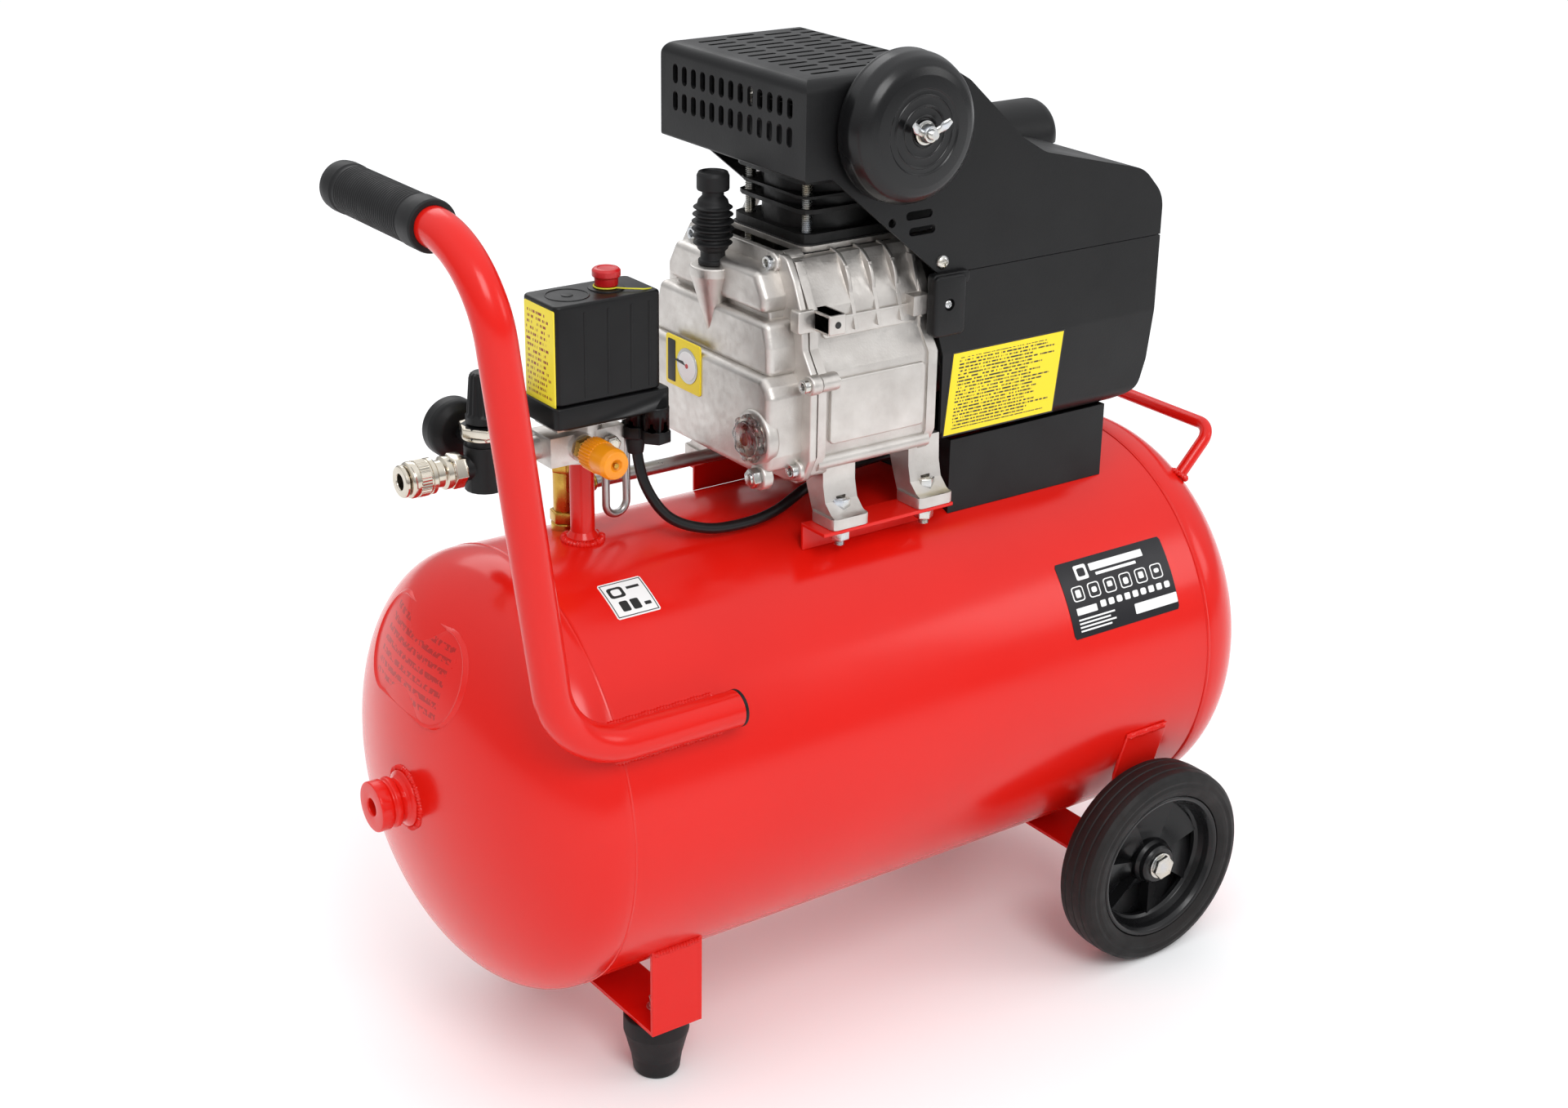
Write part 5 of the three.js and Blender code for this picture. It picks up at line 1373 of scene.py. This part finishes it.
# ---- shrouds ------------------------------------------------------------------------------------
@dataclass
class Shrouds:
    """Cowl, fan housing, skirt and the capacitor under the cowl's hump."""

    half: float = 87.0
    wall: float = 2.5
    seam: float = 560.0
    front: float = -82.0
    rear: float = 247.0
    bottom: float = 428.0

    def build(self, shop: Workshop) -> None:
        """Makes the mouldings and their screws."""
        self.cowl(shop)
        self.fan_housing(shop)
        shop.refine("motor_skirt", SATIN_BLACK, 0.8)
        can = fillet([(0, 158), (20, 158), (20, 236), (17, 238), (0, 238)], 1.5, 4)
        shop.make("capacitor_can", revolve(Axis.X, can, (58, 608), 64), DRAWN_ALUMINIUM, "start_capacitor", True)
        for centre, seat, radius in (((37.5, 569.5), -self.half - 0.2, 5.2), ((40, 540), -92.0, 3.6)):
            head, cross = pan_head(Axis.Y, radius, seat, -1, centre)
            shop.make(f"shroud_screw_{int(centre[1])}", head, ZINC_PLATE, "upper_shroud", holes=cross)

    def cowl(self, shop: Workshop) -> None:
        """The slotted upper moulding."""
        x0 = self.front
        side = [(x0, 640), (x0, 707), (34, 707), (56, 694), (106, 649), (128, 636), (226, 612), (self.rear, 590),
                (self.rear, self.seam + 0.3), (36, self.seam + 0.3), (-60, 640)]
        radii = [2, 9, 22, 26, 24, 30, 30, 26, 0, 3, 6]
        form = self.two_way(shop, "cowl_form", fillet(side, radii, 8, closed=True), self.half,
                            [(self.half, 530), (self.half, 707)], 11.0)
        inner_side = [(x0 + 2.5, 600), (x0 + 2.5, 704.5), (33, 704.5), (54.5, 692), (105, 646.5), (127, 633.5),
                      (225, 609.5), (self.rear - 2.5, 588.5), (self.rear - 2.5, 520), (20, 520)]
        inner_radii = [0, 7, 22, 26, 24, 30, 28, 24, 0, 0]
        tool = self.two_way(shop, "cowl_room", fillet(inner_side, inner_radii, 8, closed=True), self.half,
                            [(self.half - 2.5, 500), (self.half - 2.5, 704.5)], 9.0)
        slots = []
        for i in range(13):
            y = (i - 6) * 11.4
            for z in (667.0, 686.0):
                slots.append(slab(Axis.X, rectangle(y - 3.1, y + 3.1, z - 6.8, z + 6.8, 3.05, 6), x0 - 6, x0 + 9))
        for column, (start, length) in enumerate(((-66, 23), (-38, 23), (-10, 23), (17, 14))):
            for row in range(12):
                y = (row - 5.5) * 12.0 + (3.0 if column % 2 else -3.0)
                outline = rectangle(start, start + length, y - 2.0, y + 2.0, 1.9, 4)
                slots.append(slab(Axis.Z, outline, 700, 712))
        slots.append(rod(Axis.Y, 3.2, -95, -80, (-8, 603), 0.1, 24))
        for a, b, z in ((4, 27, 606), (7, 30, 594.5)):
            slots.append(slab(Axis.Y, rectangle(a, b, z - 3.0, z + 3.0, 2.9, 5), -95, -80))
        cowl = bpy.data.objects.new("cowl_moulded", form)
        bpy.context.scene.collection.objects.link(cowl)
        self.carve(cowl, tool)
        shop.dress(cowl, SATIN_BLACK, "upper_shroud", True, 0.5, 34, together(slots))
        hump_shell = fillet([(0, 252), (27, 252), (27, 140), (24.6, 140), (24.6, 249.6), (0, 249.6)],
                            [0, 19, 0.4, 0.4, 16.6, 0], 12)
        cover = revolve(Axis.X, hump_shell, (58, 610), 96)
        clip = block((130, 256), (20, 95), (560, 606), 1, 0.1)
        shop.make("cowl_hump", cover, SATIN_BLACK, "upper_shroud", holes=clip, bevel=0.3)

    def two_way(self, shop: Workshop, name: str, side: Array, half: float, tall: Sequence[Point],
                corner: float) -> bpy.types.Mesh:
        """The solid that is a side outline from one side and a round-cornered gate from the front.

        Args:
            shop: the workshop.
            name: the mesh's name.
            side: the outline seen from the side (x, z).
            half: its half width.
            tall: the gate's lower and upper corner (half width, z).
            corner: radius of the gate's upper corners.

        Returns:
            The mesh, in metres.
        """
        (w0, z0), (w1, z1) = tall
        gate = fillet([(-w0, z0), (w0, z0), (w1, z1), (-w1, z1)], [0, 0, corner, corner], 8, closed=True)
        body = bpy.data.objects.new(name, shop.mesh(name, slab(Axis.Y, side, -half - 1, half + 1)))
        bpy.context.scene.collection.objects.link(body)
        gate_mesh = shop.mesh(f"{name}_gate", slab(Axis.X, gate, self.front - 5, self.rear + 10))
        self.carve(body, gate_mesh, "INTERSECT")
        mesh = body.data
        bpy.data.objects.remove(body)
        return mesh

    @staticmethod
    def carve(body: bpy.types.Object, tool_mesh: bpy.types.Mesh, operation: str = "DIFFERENCE") -> None:
        """Cuts a mesh out of an object, or keeps what they share, and applies it."""
        tool = bpy.data.objects.new("tool", tool_mesh)
        bpy.context.scene.collection.objects.link(tool)
        cutting = body.modifiers.new("carve", "BOOLEAN")
        cutting.operation, cutting.solver, cutting.object = operation, "EXACT", tool
        made = bpy.data.meshes.new_from_object(body.evaluated_get(bpy.context.evaluated_depsgraph_get()))
        body.modifiers.clear()
        body.data = made
        bpy.data.objects.remove(tool)

    def fan_housing(self, shop: Workshop) -> None:
        """The lower moulding, with rear slots, a clip block and a printed yellow sticker."""
        side = [(50, self.bottom), (224, self.bottom), (243, 440), (self.rear, 462), (self.rear, self.seam - 0.2),
                (40, self.seam - 0.2), (32, 528), (36, 520), (42, 500)]
        radii = [3, 22, 16, 20, 1, 6, 6, 6, 6]
        form = self.two_way(shop, "housing_form", fillet(side, radii, 8, closed=True), self.half,
                            [(66, self.bottom), (self.half, 700)], 0.0)
        gate = fillet([(-66, self.bottom), (66, self.bottom), (79, 436), (self.half, 502), (self.half, 620),
                       (-self.half, 620), (-self.half, 502), (-79, 436)], [10, 10, 12, 30, 0, 0, 30, 12], 8,
                      closed=True)
        housing = bpy.data.objects.new("housing_moulded", form)
        bpy.context.scene.collection.objects.link(housing)
        housing.data = shop.mesh("housing_side", slab(Axis.Y, fillet(side, radii, 8, closed=True), -95, 95))
        self.carve(housing, shop.mesh("housing_gate", slab(Axis.X, gate, 10, 260)), "INTERSECT")
        inner_gate = fillet([(-63, self.bottom + 2.5), (63, self.bottom + 2.5), (76.5, 438), (84.5, 503), (84.5, 640),
                             (-84.5, 640), (-84.5, 503), (-76.5, 438)], [8, 8, 10, 28, 0, 0, 28, 10], 8, closed=True)
        room = bpy.data.objects.new("room", shop.mesh("room", slab(Axis.X, inner_gate, 10, self.rear - 2.6)))
        bpy.context.scene.collection.objects.link(room)
        inner_side = fillet([(10, self.bottom + 2.5), (223, self.bottom + 2.5), (240.5, 442), (244.5, 463),
                             (244.5, 600), (10, 600)], [0, 20, 14, 18, 0, 0], 8, closed=True)
        self.carve(room, shop.mesh("room_side", slab(Axis.Y, inner_side, -95, 95)), "INTERSECT")
        self.carve(housing, room.data)
        bpy.data.objects.remove(room)
        holes = [block((70, 214), (-60, 60), (self.bottom - 5, self.bottom + 6), 3, 0.2)]
        for i in range(6):
            z = 470 + 13 * i
            holes.append(slab(Axis.X, rectangle(-60, 60, z, z + 6, 2.9, 4), 236, 255))
        shop.dress(housing, SATIN_BLACK, "lower_shroud", True, 0.6, 34, together(holes))
        lug = block((27, 55), (-94.2, -84), (517, 561), 4, 2.0, Axis.Y)
        lip = block((27, 60), (-91.5, -84), (553, 562), 3, 1.5, Axis.Y)
        shop.make("housing_clip", lug + lip, SATIN_BLACK, "lower_shroud",
                  holes=rod(Axis.Y, 4.4, -100, -91.5, (40, 540), 0.1, 32), bevel=0.3)
        shop.make("housing_sticker", self.side_sticker(52, 156, 436, 500, 0.35), YELLOW_PRINT, "lower_shroud")
        shop.make("housing_sticker_edge", self.side_sticker(50.8, 157.2, 434.8, 501.2, 0.2), BLACK_INK_AND_PAINTED_SHADE,
                  "lower_shroud")

    def side_sticker(self, x0: float, x1: float, z0: float, z1: float, lift: float) -> Shape:
        """A thin sticker on the housing's leaning near side, with a UV map from 0 to 1 over it."""
        rows, columns = 14, 2
        t = np.linspace(0, 1, rows)
        z = z0 + (z1 - z0) * t
        wall = -np.interp(z, [436.0, 502.0, 620.0], [79.0, self.half, self.half])
        sheets, maps = [], []
        for depth in (-lift, 1.4):
            grid = np.zeros((rows, columns, 3))
            grid[..., 0] = np.array([x0, x1])
            grid[..., 1] = (wall + depth)[:, None]
            grid[..., 2] = z[:, None]
            sheets.append(grid.reshape(-1, 3))
            maps.append(np.stack([np.tile([0.0, 1.0], rows), np.repeat(t, columns)], 1))
        count = rows * columns
        faces = grid_faces(rows, columns, False, False)
        under = [tuple(i + count for i in face[::-1]) for face in faces]
        rim = np.concatenate([np.arange(0, count, 2), np.arange(count - 1, 0, -2)])
        walls = [(a, b, b + count, a + count) for a, b in zip(np.roll(rim, -1).tolist(), rim.tolist())]
        return Shape(np.vstack(sheets), faces + under + walls, np.vstack(maps))


@dataclass
class AirFilter:
    """The round filter can on the cowl's side, with its stud and wing nut."""

    x: float = -8.0
    z: float = 671.0
    r: float = 52.0
    back: float = -88.5
    face: float = -117.0

    def build(self, shop: Workshop) -> None:
        """Makes the can, the stud and the nut."""
        f, b, r = self.face, self.back, self.r
        rings = [(29, f - 0.9), (28, f + 0.1), (24.8, f - 0.1), (24, f - 0.9), (23.2, f - 0.1), (18, f - 0.2),
                 (17.2, f - 1.0), (16.4, f - 0.2), (11.4, f - 0.3), (10.6, f - 1.1), (9.8, f - 0.3), (0, f - 0.4)]
        profile = [(0, b + 1.0), (r - 4, b + 0.6), (r - 1.6, b - 1.0), (r, b - 3.0), (r - 0.4, b - 5.5),
                   (r - 0.6, f + 14), (r - 3.5, f + 6), (r - 9.0, f + 1.6), (r - 14.5, f), *rings]
        radii = [0, 1, 1.5, 1.5, 1.2, 10, 9, 9, 5, 0.5, 1, 1, 0.5, 1, 1, 0.5, 1, 1, 0.5, 1, 0]
        shop.make("filter_can", revolve(Axis.Y, fillet(profile, radii, 5), (self.x, self.z), 144), GLOSS_BLACK,
                  "air_filter_canister", True, smooth=50)
        stud = threaded(Axis.Y, 2.9, f - 12.5, f + 2, (self.x, self.z), 1.0)
        shop.make("filter_stud", stud, ZINC_PLATE, "air_filter_canister")
        shop.make("filter_stud_washer", rod(Axis.Y, 8.2, f - 2.4, f - 1.2, (self.x, self.z), 0.3), ZINC_PLATE,
                  "air_filter_canister")
        hub = fillet([(3.2, f - 2.6), (7, f - 2.6), (5.4, f - 8.5), (3.2, f - 8.5), (3.2, f - 2.6)], 0.6, 3)
        wings = []
        for way in (-1, 1):
            path = bend([(self.x + way * 4, f - 5, self.z), (self.x + way * 10, f - 6.5, self.z + 3),
                         (self.x + way * 15.5, f - 9, self.z + 8)], 6, 6, 2)
            radius = np.interp(np.linspace(0, 1, len(path)), [0, 0.5, 0.85, 1], [2.4, 2.9, 3.4, 2.0])
            wings.append(sweep(path, radius, 20, 0.5))
        nut = together([revolve(Axis.Y, hub, (self.x, self.z), 40), *wings])
        shop.make("wing_nut", nut, ZINC_PLATE, "filter_wing_nut", True)


# ---- air fittings -------------------------------------------------------------------------------
@dataclass
class Switch:
    """The pressure switch: base, cover, red knob, printed side and a twine."""

    x: tuple[float, float] = (-243.0, -161.0)
    y: tuple[float, float] = (-36.0, 8.0)
    base_z: float = 484.0
    split: float = 499.0
    top: float = 568.0
    knob: tuple[float, float] = (-190.0, -13.0)
    glands: tuple[tuple[float, float], ...] = ((-169.0, -14.0), (-163.0, -31.0))

    def build(self, shop: Workshop) -> None:
        """Makes the switch."""
        (x0, x1), (y0, y1) = self.x, self.y
        base = [block((x0 - 2, x1 + 6), (y0 - 2, y1 + 2), (self.base_z, self.split), 4.5, 1.2),
                block((x0 + 8, x1 - 4), (y0 + 6, y1 - 4), (self.base_z - 4, self.base_z + 4), 4, 1.0)]
        bores = Shape(np.zeros((0, 3)), [])
        for number, gland in enumerate(self.glands):
            base += [rod(Axis.Z, 9.2, 464, self.base_z + 2, gland, 1.4, 48),
                     hexagon(Axis.Z, 18.5, 460, 469, gland, 10, 1.0)]
            bores += rod(Axis.Z, 4.6, 452, 480 - 4 * number, gland, 0.1)
        shop.make("switch_base_moulded", together(base), SWITCH_BLACK, "switch_base", True, holes=bores, bevel=0.3)
        cover = [slab(Axis.Z, rectangle(x0, x1, y0, y1, 5, 6), self.split + 0.4, self.top, 2.2, 5)]
        for x in (-221, -203, -185, -171):
            cover.append(block((x - 0.7, x + 0.7), (y0 - 0.35, y0 + 2), (self.split + 4, self.top - 6), 0.3, 0.2, Axis.Y))
        cover.append(rod(Axis.Z, 12.5, self.top - 1, self.top + 0.9, self.knob, 0.6, 56))
        ring_profile = [(15, self.top - 1), (15, self.top + 0.5), (14, self.top + 0.5), (14, self.top - 1),
                        (15, self.top - 1)]
        cover.append(revolve(Axis.Z, fillet(ring_profile, 0.3, 2), (-221, -14), 64))
        cover.append(rod(Axis.Z, 4, self.top - 1, self.top + 0.5, (-221, -14), 0.3, 40))
        shop.make("switch_cover_moulded", together(cover), SWITCH_BLACK, "switch_cover", True,
                  holes=rod(Axis.Z, 7.0, self.top - 3, self.top + 4, self.knob, 0.1, 48), bevel=0.2)
        knob = fillet([(0, 560), (6.3, 560), (6.3, 569.5), (7.8, 570.5), (8.2, 576), (9.7, 576.6), (9.7, 580.6),
                       (8.4, 582), (6.2, 582.3), (5.6, 581.7), (0, 581.5)], 0.7, 4)
        shop.make("switch_knob_moulded", revolve(Axis.Z, knob, self.knob, 64), RED_PLASTIC, "switch_knob", True)
        self.print_side(shop)
        self.twine(shop)

    def print_side(self, shop: Workshop) -> None:
        """The yellow printed sticker on the -X side."""
        x = self.x[0]
        plate = block((x - 0.35, x + 0.6), (self.y[0] + 2, self.y[1] - 4), (498, self.top - 3), 1.5, 0.1, Axis.X)
        span = plate.points[:, 1:] - plate.points[:, 1:].min(0)
        uv = span / span.max(0)
        uv[:, 0] = 1 - uv[:, 0]
        plate.uv = uv
        shop.make("switch_sticker", plate, SWITCH_PRINT, "switch_cover")

    def twine(self, shop: Workshop) -> None:
        """The yellow twine of a tag, from the knob's foot over the cover's edge."""
        kx, ky = self.knob
        t = np.linspace(0, 1.6 * math.pi, 26)
        loop = np.stack([kx + 8.6 * np.cos(t), ky + 8.6 * np.sin(t), np.full(26, self.top + 1.7)], 1)
        x1, y0 = self.x[1], self.y[0]
        away = spline([tuple(loop[-1]), (kx + 8, ky - 13, self.top + 1.5), (kx + 17, ky - 18, self.top + 1.0),
                       (x1 + 0.8, y0 + 9, self.top - 3.0), (x1 + 1.1, y0 + 10, self.top - 22),
                       (x1 + 1.1, y0 + 12, self.split + 6), (x1 + 3.2, y0 + 14, self.split - 3),
                       (x1 + 3.4, y0 + 15, 470)], 8)
        shop.make("tag_twine", sweep(np.vstack([loop, away[1:]]), 0.55, 10), YELLOW_CORD, "switch_cover")


@dataclass
class Manifold:
    """Stand pipe, manifold, valves, gauge side and the metal tubes."""

    pipe: tuple[float, float] = (-204.0, 0.0)
    valve: tuple[float, float] = (-213.0, 461.0)
    check: tuple[float, float] = (-200.0, 30.0)
    port: float = 414.0

    def build(self, shop: Workshop) -> None:
        """Makes the manifold and what screws into it."""
        px, py = self.pipe
        top = Receiver.z + Receiver.radius
        pipe = fillet([(0, top - 6), (11.5, top - 6), (11.5, top + 3), (8.6, top + 7), (8.6, 445.6), (6, 445.6), (0, 445.6)],
                      1.0, 4)
        shop.make("stand_pipe_welded", revolve(Axis.Z, pipe, self.pipe, 56), RED_PAINT, "stand_pipe", True)
        shop.make("stand_pipe_bead", Receiver().ring_bead(px, py, 13.0, 2.6), RED_PAINT, "stand_pipe")
        shop.refine("manifold", CAST_ALUMINIUM, 0.9)
        plugs = [bolt_head(Axis.Y, 11, -14.2, -1, (-190, 459), 0, 8), bolt_head(Axis.Y, 13, 14.2, 1, (-213, 459), 0, 3)]
        shop.make("manifold_plugs", together(plugs), ZINC_PLATE, "manifold")
        self.safety(shop)
        self.check_valve(shop)
        self.tubes(shop)

    def safety(self, shop: Workshop) -> None:
        """The safety valve with its amber cap and knurled collar."""
        centre = self.valve
        body = [hexagon(Axis.Y, 16.6, -26, -19.5, centre, 15, 0.9),
                revolve(Axis.Y, fillet([(0, -40), (5, -40), (6.6, -34), (6.6, -25), (0, -25)], 0.6, 3), centre, 40)]
        shop.make("safety_valve_turned", together(body), BRASS, "safety_valve", True)
        t = np.linspace(0, 2 * math.pi, 240, endpoint=False)
        r = 11.2 + 0.45 * np.cos(30 * t)
        collar = slab(Axis.Y, np.stack([centre[0] + r * np.cos(t), centre[1] + r * np.sin(t)], 1), -43.5, -29, 1.2, 3)
        cap = fillet([(0, -30), (9.6, -30), (10.4, -42), (10.8, -43), (10.8, -57), (9.4, -60.6), (4.4, -61), (3.6, -59.6),
                      (2.2, -58.5), (0, -58.5)], 0.9, 4)
        shape = revolve(Axis.Y, cap, centre, 72)
        shop.make("safety_cap_moulded", shape + collar, AMBER_PLASTIC, "safety_valve_cap", True)
        shop.make("safety_cap_pin", rod(Axis.Y, 1.9, -60.9, -56, centre, 0.4, 24), BRASS, "safety_valve_cap")

    def check_valve(self, shop: Workshop) -> None:
        """The brass check valve on its own socket, and the tube nut at its side port."""
        x, y = self.check
        top = Receiver.z + math.sqrt(Receiver.radius ** 2 - y ** 2)
        parts = [rod(Axis.Z, 10.4, top - 5, top + 6, (x, y), 1.2, 48), hexagon(Axis.Z, 19.5, top + 6, 398, (x, y), 20, 0.9),
                 rod(Axis.Z, 8.6, 397, 428, (x, y), 0.8, 48), hexagon(Axis.Z, 18, 427.4, 435.6, (x, y), 4, 1.0),
                 rod(Axis.X, 7.6, x, x + 14, (y, self.port), 0.8, 48)]
        shop.make("check_valve_turned", together(parts), BRASS, "check_valve", True)
        nut = [hexagon(Axis.X, 16, x + 10, x + 20, (y, self.port), 0, 0.9), rod(Axis.X, 6.8, x + 19.5, x + 23, (y, self.port), 0.8)]
        shop.make("delivery_nut", together(nut), BRASS, "check_valve")

    def tubes(self, shop: Workshop) -> None:
        """The delivery tube round the pump's far side, and the U of the unloader tube."""
        x, y = self.check
        port = self.port
        route = [(x + 8, y, port), (-3, y, port), (-3, 112, port - 2), (-3, 112, 540), (-3, 74, 600), (-3, 74, 652),
                 (-3, 44, 652)]
        shop.make("delivery_tube_bent", sweep(bend(route, 15, 12), 5.0, 32), DRAWN_ALUMINIUM, "delivery_tube", True)
        loop = [(-168, 0, 483.4), (-168, 0, 400), (-186, -2, 400), (-186, -2, 448.4)]
        tube = sweep(bend(loop, 8.9, 12), 2.8, 24)
        shop.make("unloader_tube_bent", tube, DRAWN_ALUMINIUM, "unloader_tube", True)
        nuts = [hexagon(Axis.Z, 9.5, 474, 483, (-168, 0), 8, 0.6), hexagon(Axis.Z, 9.5, 440.5, 448.6, (-186, -2), 20, 0.6)]
        shop.make("unloader_nuts", together(nuts), BRASS, "unloader_tube")


@dataclass
class Regulator:
    """Regulator, gauge, and the quick coupler."""

    x: float = -276.0
    y: float = 5.0
    low: float = 438.0
    high: float = 478.0
    gauge_z: float = 468.0
    coupler_z: float = 455.0

    def build(self, shop: Workshop) -> None:
        """Makes the three fittings."""
        shop.refine("regulator_body", SATIN_BLACK, 0.8)
        x, y, h = self.x, self.y, self.high
        nut = hexagon(Axis.Z, 30.5, h - 0.5, h + 5.9, (x, y), 10, 1.2)
        ring_shape = revolve(Axis.Z, fillet([(6, h - 3.2), (15.2, h - 3.2), (15.2, h - 0.8), (6, h - 0.8), (6, h - 3.2)], 0.6, 3),
                             (x, y), 56)
        shop.make("regulator_ring", nut + ring_shape, NICKEL, "regulator_body",
                  holes=rod(Axis.Z, 5.2, h - 8, h + 12, (x, y), 0.1, 32))
        self.knob(shop)
        self.gauge(shop)
        self.coupler(shop)

    def knob(self, shop: Workshop) -> None:
        """The tall tapered knob: its fluted section shrinks as it rises."""
        x, y, h = self.x, self.y, self.high
        t = np.linspace(0, 2 * math.pi, 168, endpoint=False)
        levels = [(h + 7, 10.4, 0.0), (h + 7.6, 12.0, 0.0), (h + 12, 12.0, 0.0), (h + 13, 11.2, 0.0), (h + 14.5, 10.4, 0.5),
                  (h + 38, 8.4, 0.45), (h + 40.5, 7.8, 0.3), (h + 41.8, 6.2, 0.0), (h + 42, 3.0, 0.0)]
        rings = []
        for z, r, depth in levels:
            section = r + depth * np.cos(14 * t)
            rings.append(np.stack([x + section * np.cos(t), y + section * np.sin(t), np.full(len(t), z)], 1))
        faces = grid_faces(len(rings), len(t), False, True)
        faces += [tuple(range(len(t)))[::-1], tuple(range((len(rings) - 1) * len(t), len(rings) * len(t)))]
        body = Shape(np.vstack(rings), faces) + rod(Axis.Z, 4.4, h - 2.5, h + 8, (x, y), 0.3)
        shop.make("regulator_knob_moulded", body, SATIN_BLACK, "regulator_knob", True)

    def gauge(self, shop: Workshop) -> None:
        """The round gauge: a black bowl, a white dial with ticks, a needle and a clear lens."""
        x, z, back = self.x, self.gauge_z, 36.0
        bowl = fillet([(0, back - 0.5), (8, back - 0.5), (15, back + 0.6), (20.6, back + 5), (21.4, back + 9), (21.4, back + 17),
                       (20.4, back + 18), (18.9, back + 18), (18.9, back + 12), (0, back + 12)], [0, 4, 6, 5, 3, 1, 0.6, 0.4, 0.3, 0], 6)
        shop.make("gauge_bowl", revolve(Axis.Y, bowl, (x, z), 96), SATIN_BLACK, "pressure_gauge", True)
        shop.make("gauge_dial", rod(Axis.Y, 18.6, back + 11.8, back + 12.4, (x, z), 0.1, 72), WHITE_PRINT, "pressure_gauge")
        ticks = []
        for i in range(31):
            long_tick = i % 5 == 0
            inner = 13.2 if long_tick else 14.8
            tick = block((x - 0.3 - 0.15 * long_tick, x + 0.3 + 0.15 * long_tick), (back + 12.2, back + 12.6),
                         (z - 16.8, z - inner), 0.05, 0.02, Axis.Y)
            ticks.append(tick.turned(Axis.Y, 45 + 9 * i, (x, 0, z)))
        shop.make("gauge_ticks", together(ticks), BLACK_INK_AND_PAINTED_SHADE, "pressure_gauge")
        shop.finish_node("gauge_needle", RED_PLASTIC)
        lens = fillet([(0, back + 16.9), (12, back + 16.6), (18.8, back + 15.4), (18.8, back + 16.6), (12, back + 17.8), (0, back + 18.1)],
                      [0, 12, 0.3, 0.3, 12, 0], 6)
        shop.make("gauge_lens", revolve(Axis.Y, lens, (x, z), 72), CLEAR_PLASTIC, "pressure_gauge")

    def coupler(self, shop: Workshop) -> None:
        """The nickel quick coupler: a hexagon, a ringed barrel, a knurled sleeve and the socket."""
        y, z = self.y, self.coupler_z
        c = self.x - 17.3
        body = fillet([(3.5, c), (10.4, c), (10.4, c - 10), (11.4, c - 11), (11.4, c - 15), (9.1, c - 16.4), (9.1, c - 42),
                       (9.8, c - 42.4), (11, c - 43.6), (11, c - 45), (10.2, c - 46), (5.8, c - 46), (5.4, c - 45), (5.4, c - 14),
                       (3.5, c - 13), (3.5, c)], 0.5, 3)
        hexes = [hexagon(Axis.X, 21.5, c - 9.6, c - 0.4, (y, z), 8, 1.1)]
        shape = revolve(Axis.X, body, (y, z), 72)
        shop.make("coupler_body", shape, NICKEL, "quick_coupler", True)
        shop.make("coupler_hexagon", together(hexes), NICKEL, "quick_coupler",
                  holes=rod(Axis.X, 3.4, c - 20, c + 3, (y, z), 0.1, 32))
        t = np.linspace(0, 2 * math.pi, 216, endpoint=False)
        stations = [(-41.6, 10.6, 0), (-41.0, 11.6, 0), (-39.6, 12.4, 0), (-37, 12.4, 0), (-36.6, 11.7, 0), (-35.4, 11.7, 0),
                    (-35, 12.3, 0.28), (-28, 12.3, 0.28), (-27.6, 11.7, 0), (-26.6, 11.7, 0), (-26.2, 12.4, 0),
                    (-23.4, 12.4, 0), (-22.2, 11.4, 0), (-22.0, 9.4, 0), (-41.6, 9.4, 0)]
        rings = []
        for shift, r, knurl in stations:
            section = r + knurl * np.cos(36 * t)
            rings.append(np.stack([np.full(len(t), c + shift), y + section * np.cos(t), z + section * np.sin(t)], 1))
        sleeve = Shape(np.vstack(rings), grid_faces(len(rings), len(t), True, True))
        shop.make("coupler_sleeve_knurled", sleeve, NICKEL, "coupler_sleeve", True)


@dataclass
class LeadAndDrain:
    """The motor's lead from the switch into the skirt, and the drain cock underneath."""

    radius: float = 3.8
    drain: tuple[float, float] = (-60.0, 0.0)

    def build(self, shop: Workshop) -> None:
        """Makes the lead, its sleeves and the cock."""
        x, gland_y = Switch().glands[0]
        route = [(x, gland_y, 480), (x, gland_y, 468), (x, gland_y - 0.5, 455), (-166, -22, 425), (-153, -32, 402), (-128, -40, 391),
                 (-98, -43, 389), (-70, -42, 392), (-40, -38, 402), (-10, -34, 408), (20, -34.5, 411), (46, -36.5, 412.5),
                 (62, -37, 413), (78, -37, 413)]
        line = spline(route, 8)
        lead = shop.make("motor_lead_sheath", sweep(line, self.radius, 24), CABLE_SHEATH, "motor_lead", True)
        boot = fillet([(4.0, 448), (5.6, 448), (7.4, 460), (4.0, 460), (4.0, 448)], 0.6, 3)
        shop.make("lead_boot", revolve(Axis.Z, boot, (x, gland_y), 40), SOFT_RUBBER, "switch_base")
        self.cock(shop)

    def cock(self, shop: Workshop) -> None:
        """The brass drain cock with its wings."""
        x, y = self.drain
        parts = [rod(Axis.Z, 4.2, 56, 70, (x, y), 0.3), hexagon(Axis.Z, 14.6, 57, 65.5, (x, y), 5, 0.9),
                 rod(Axis.Z, 6, 46, 58, (x, y), 0.8), block((x - 10, x + 10), (y - 1.6, y + 1.6), (40, 48), 1.4, 0.8, Axis.Y)]
        shop.make("drain_cock_turned", together(parts), BRASS, "drain_cock", True)


# ---- the whole ----------------------------------------------------------------------------------
def main() -> None:
    """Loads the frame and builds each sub-assembly."""
    logging.basicConfig(level=logging.INFO, format="%(name)s: %(message)s")
    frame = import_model()
    shop = Workshop(frame)
    for part in (Studio(), Receiver(), Undercarriage(), Handles(), Pump(), Shrouds(), AirFilter(), Switch(),
                 Manifold(), Regulator(), LeadAndDrain()):
        before = shop.count
        part.build(shop) if not isinstance(part, Studio) else part.build()
        LOG.info("%s: %d pieces", type(part).__name__, shop.count - before)


if __name__ == "__main__":
    main()
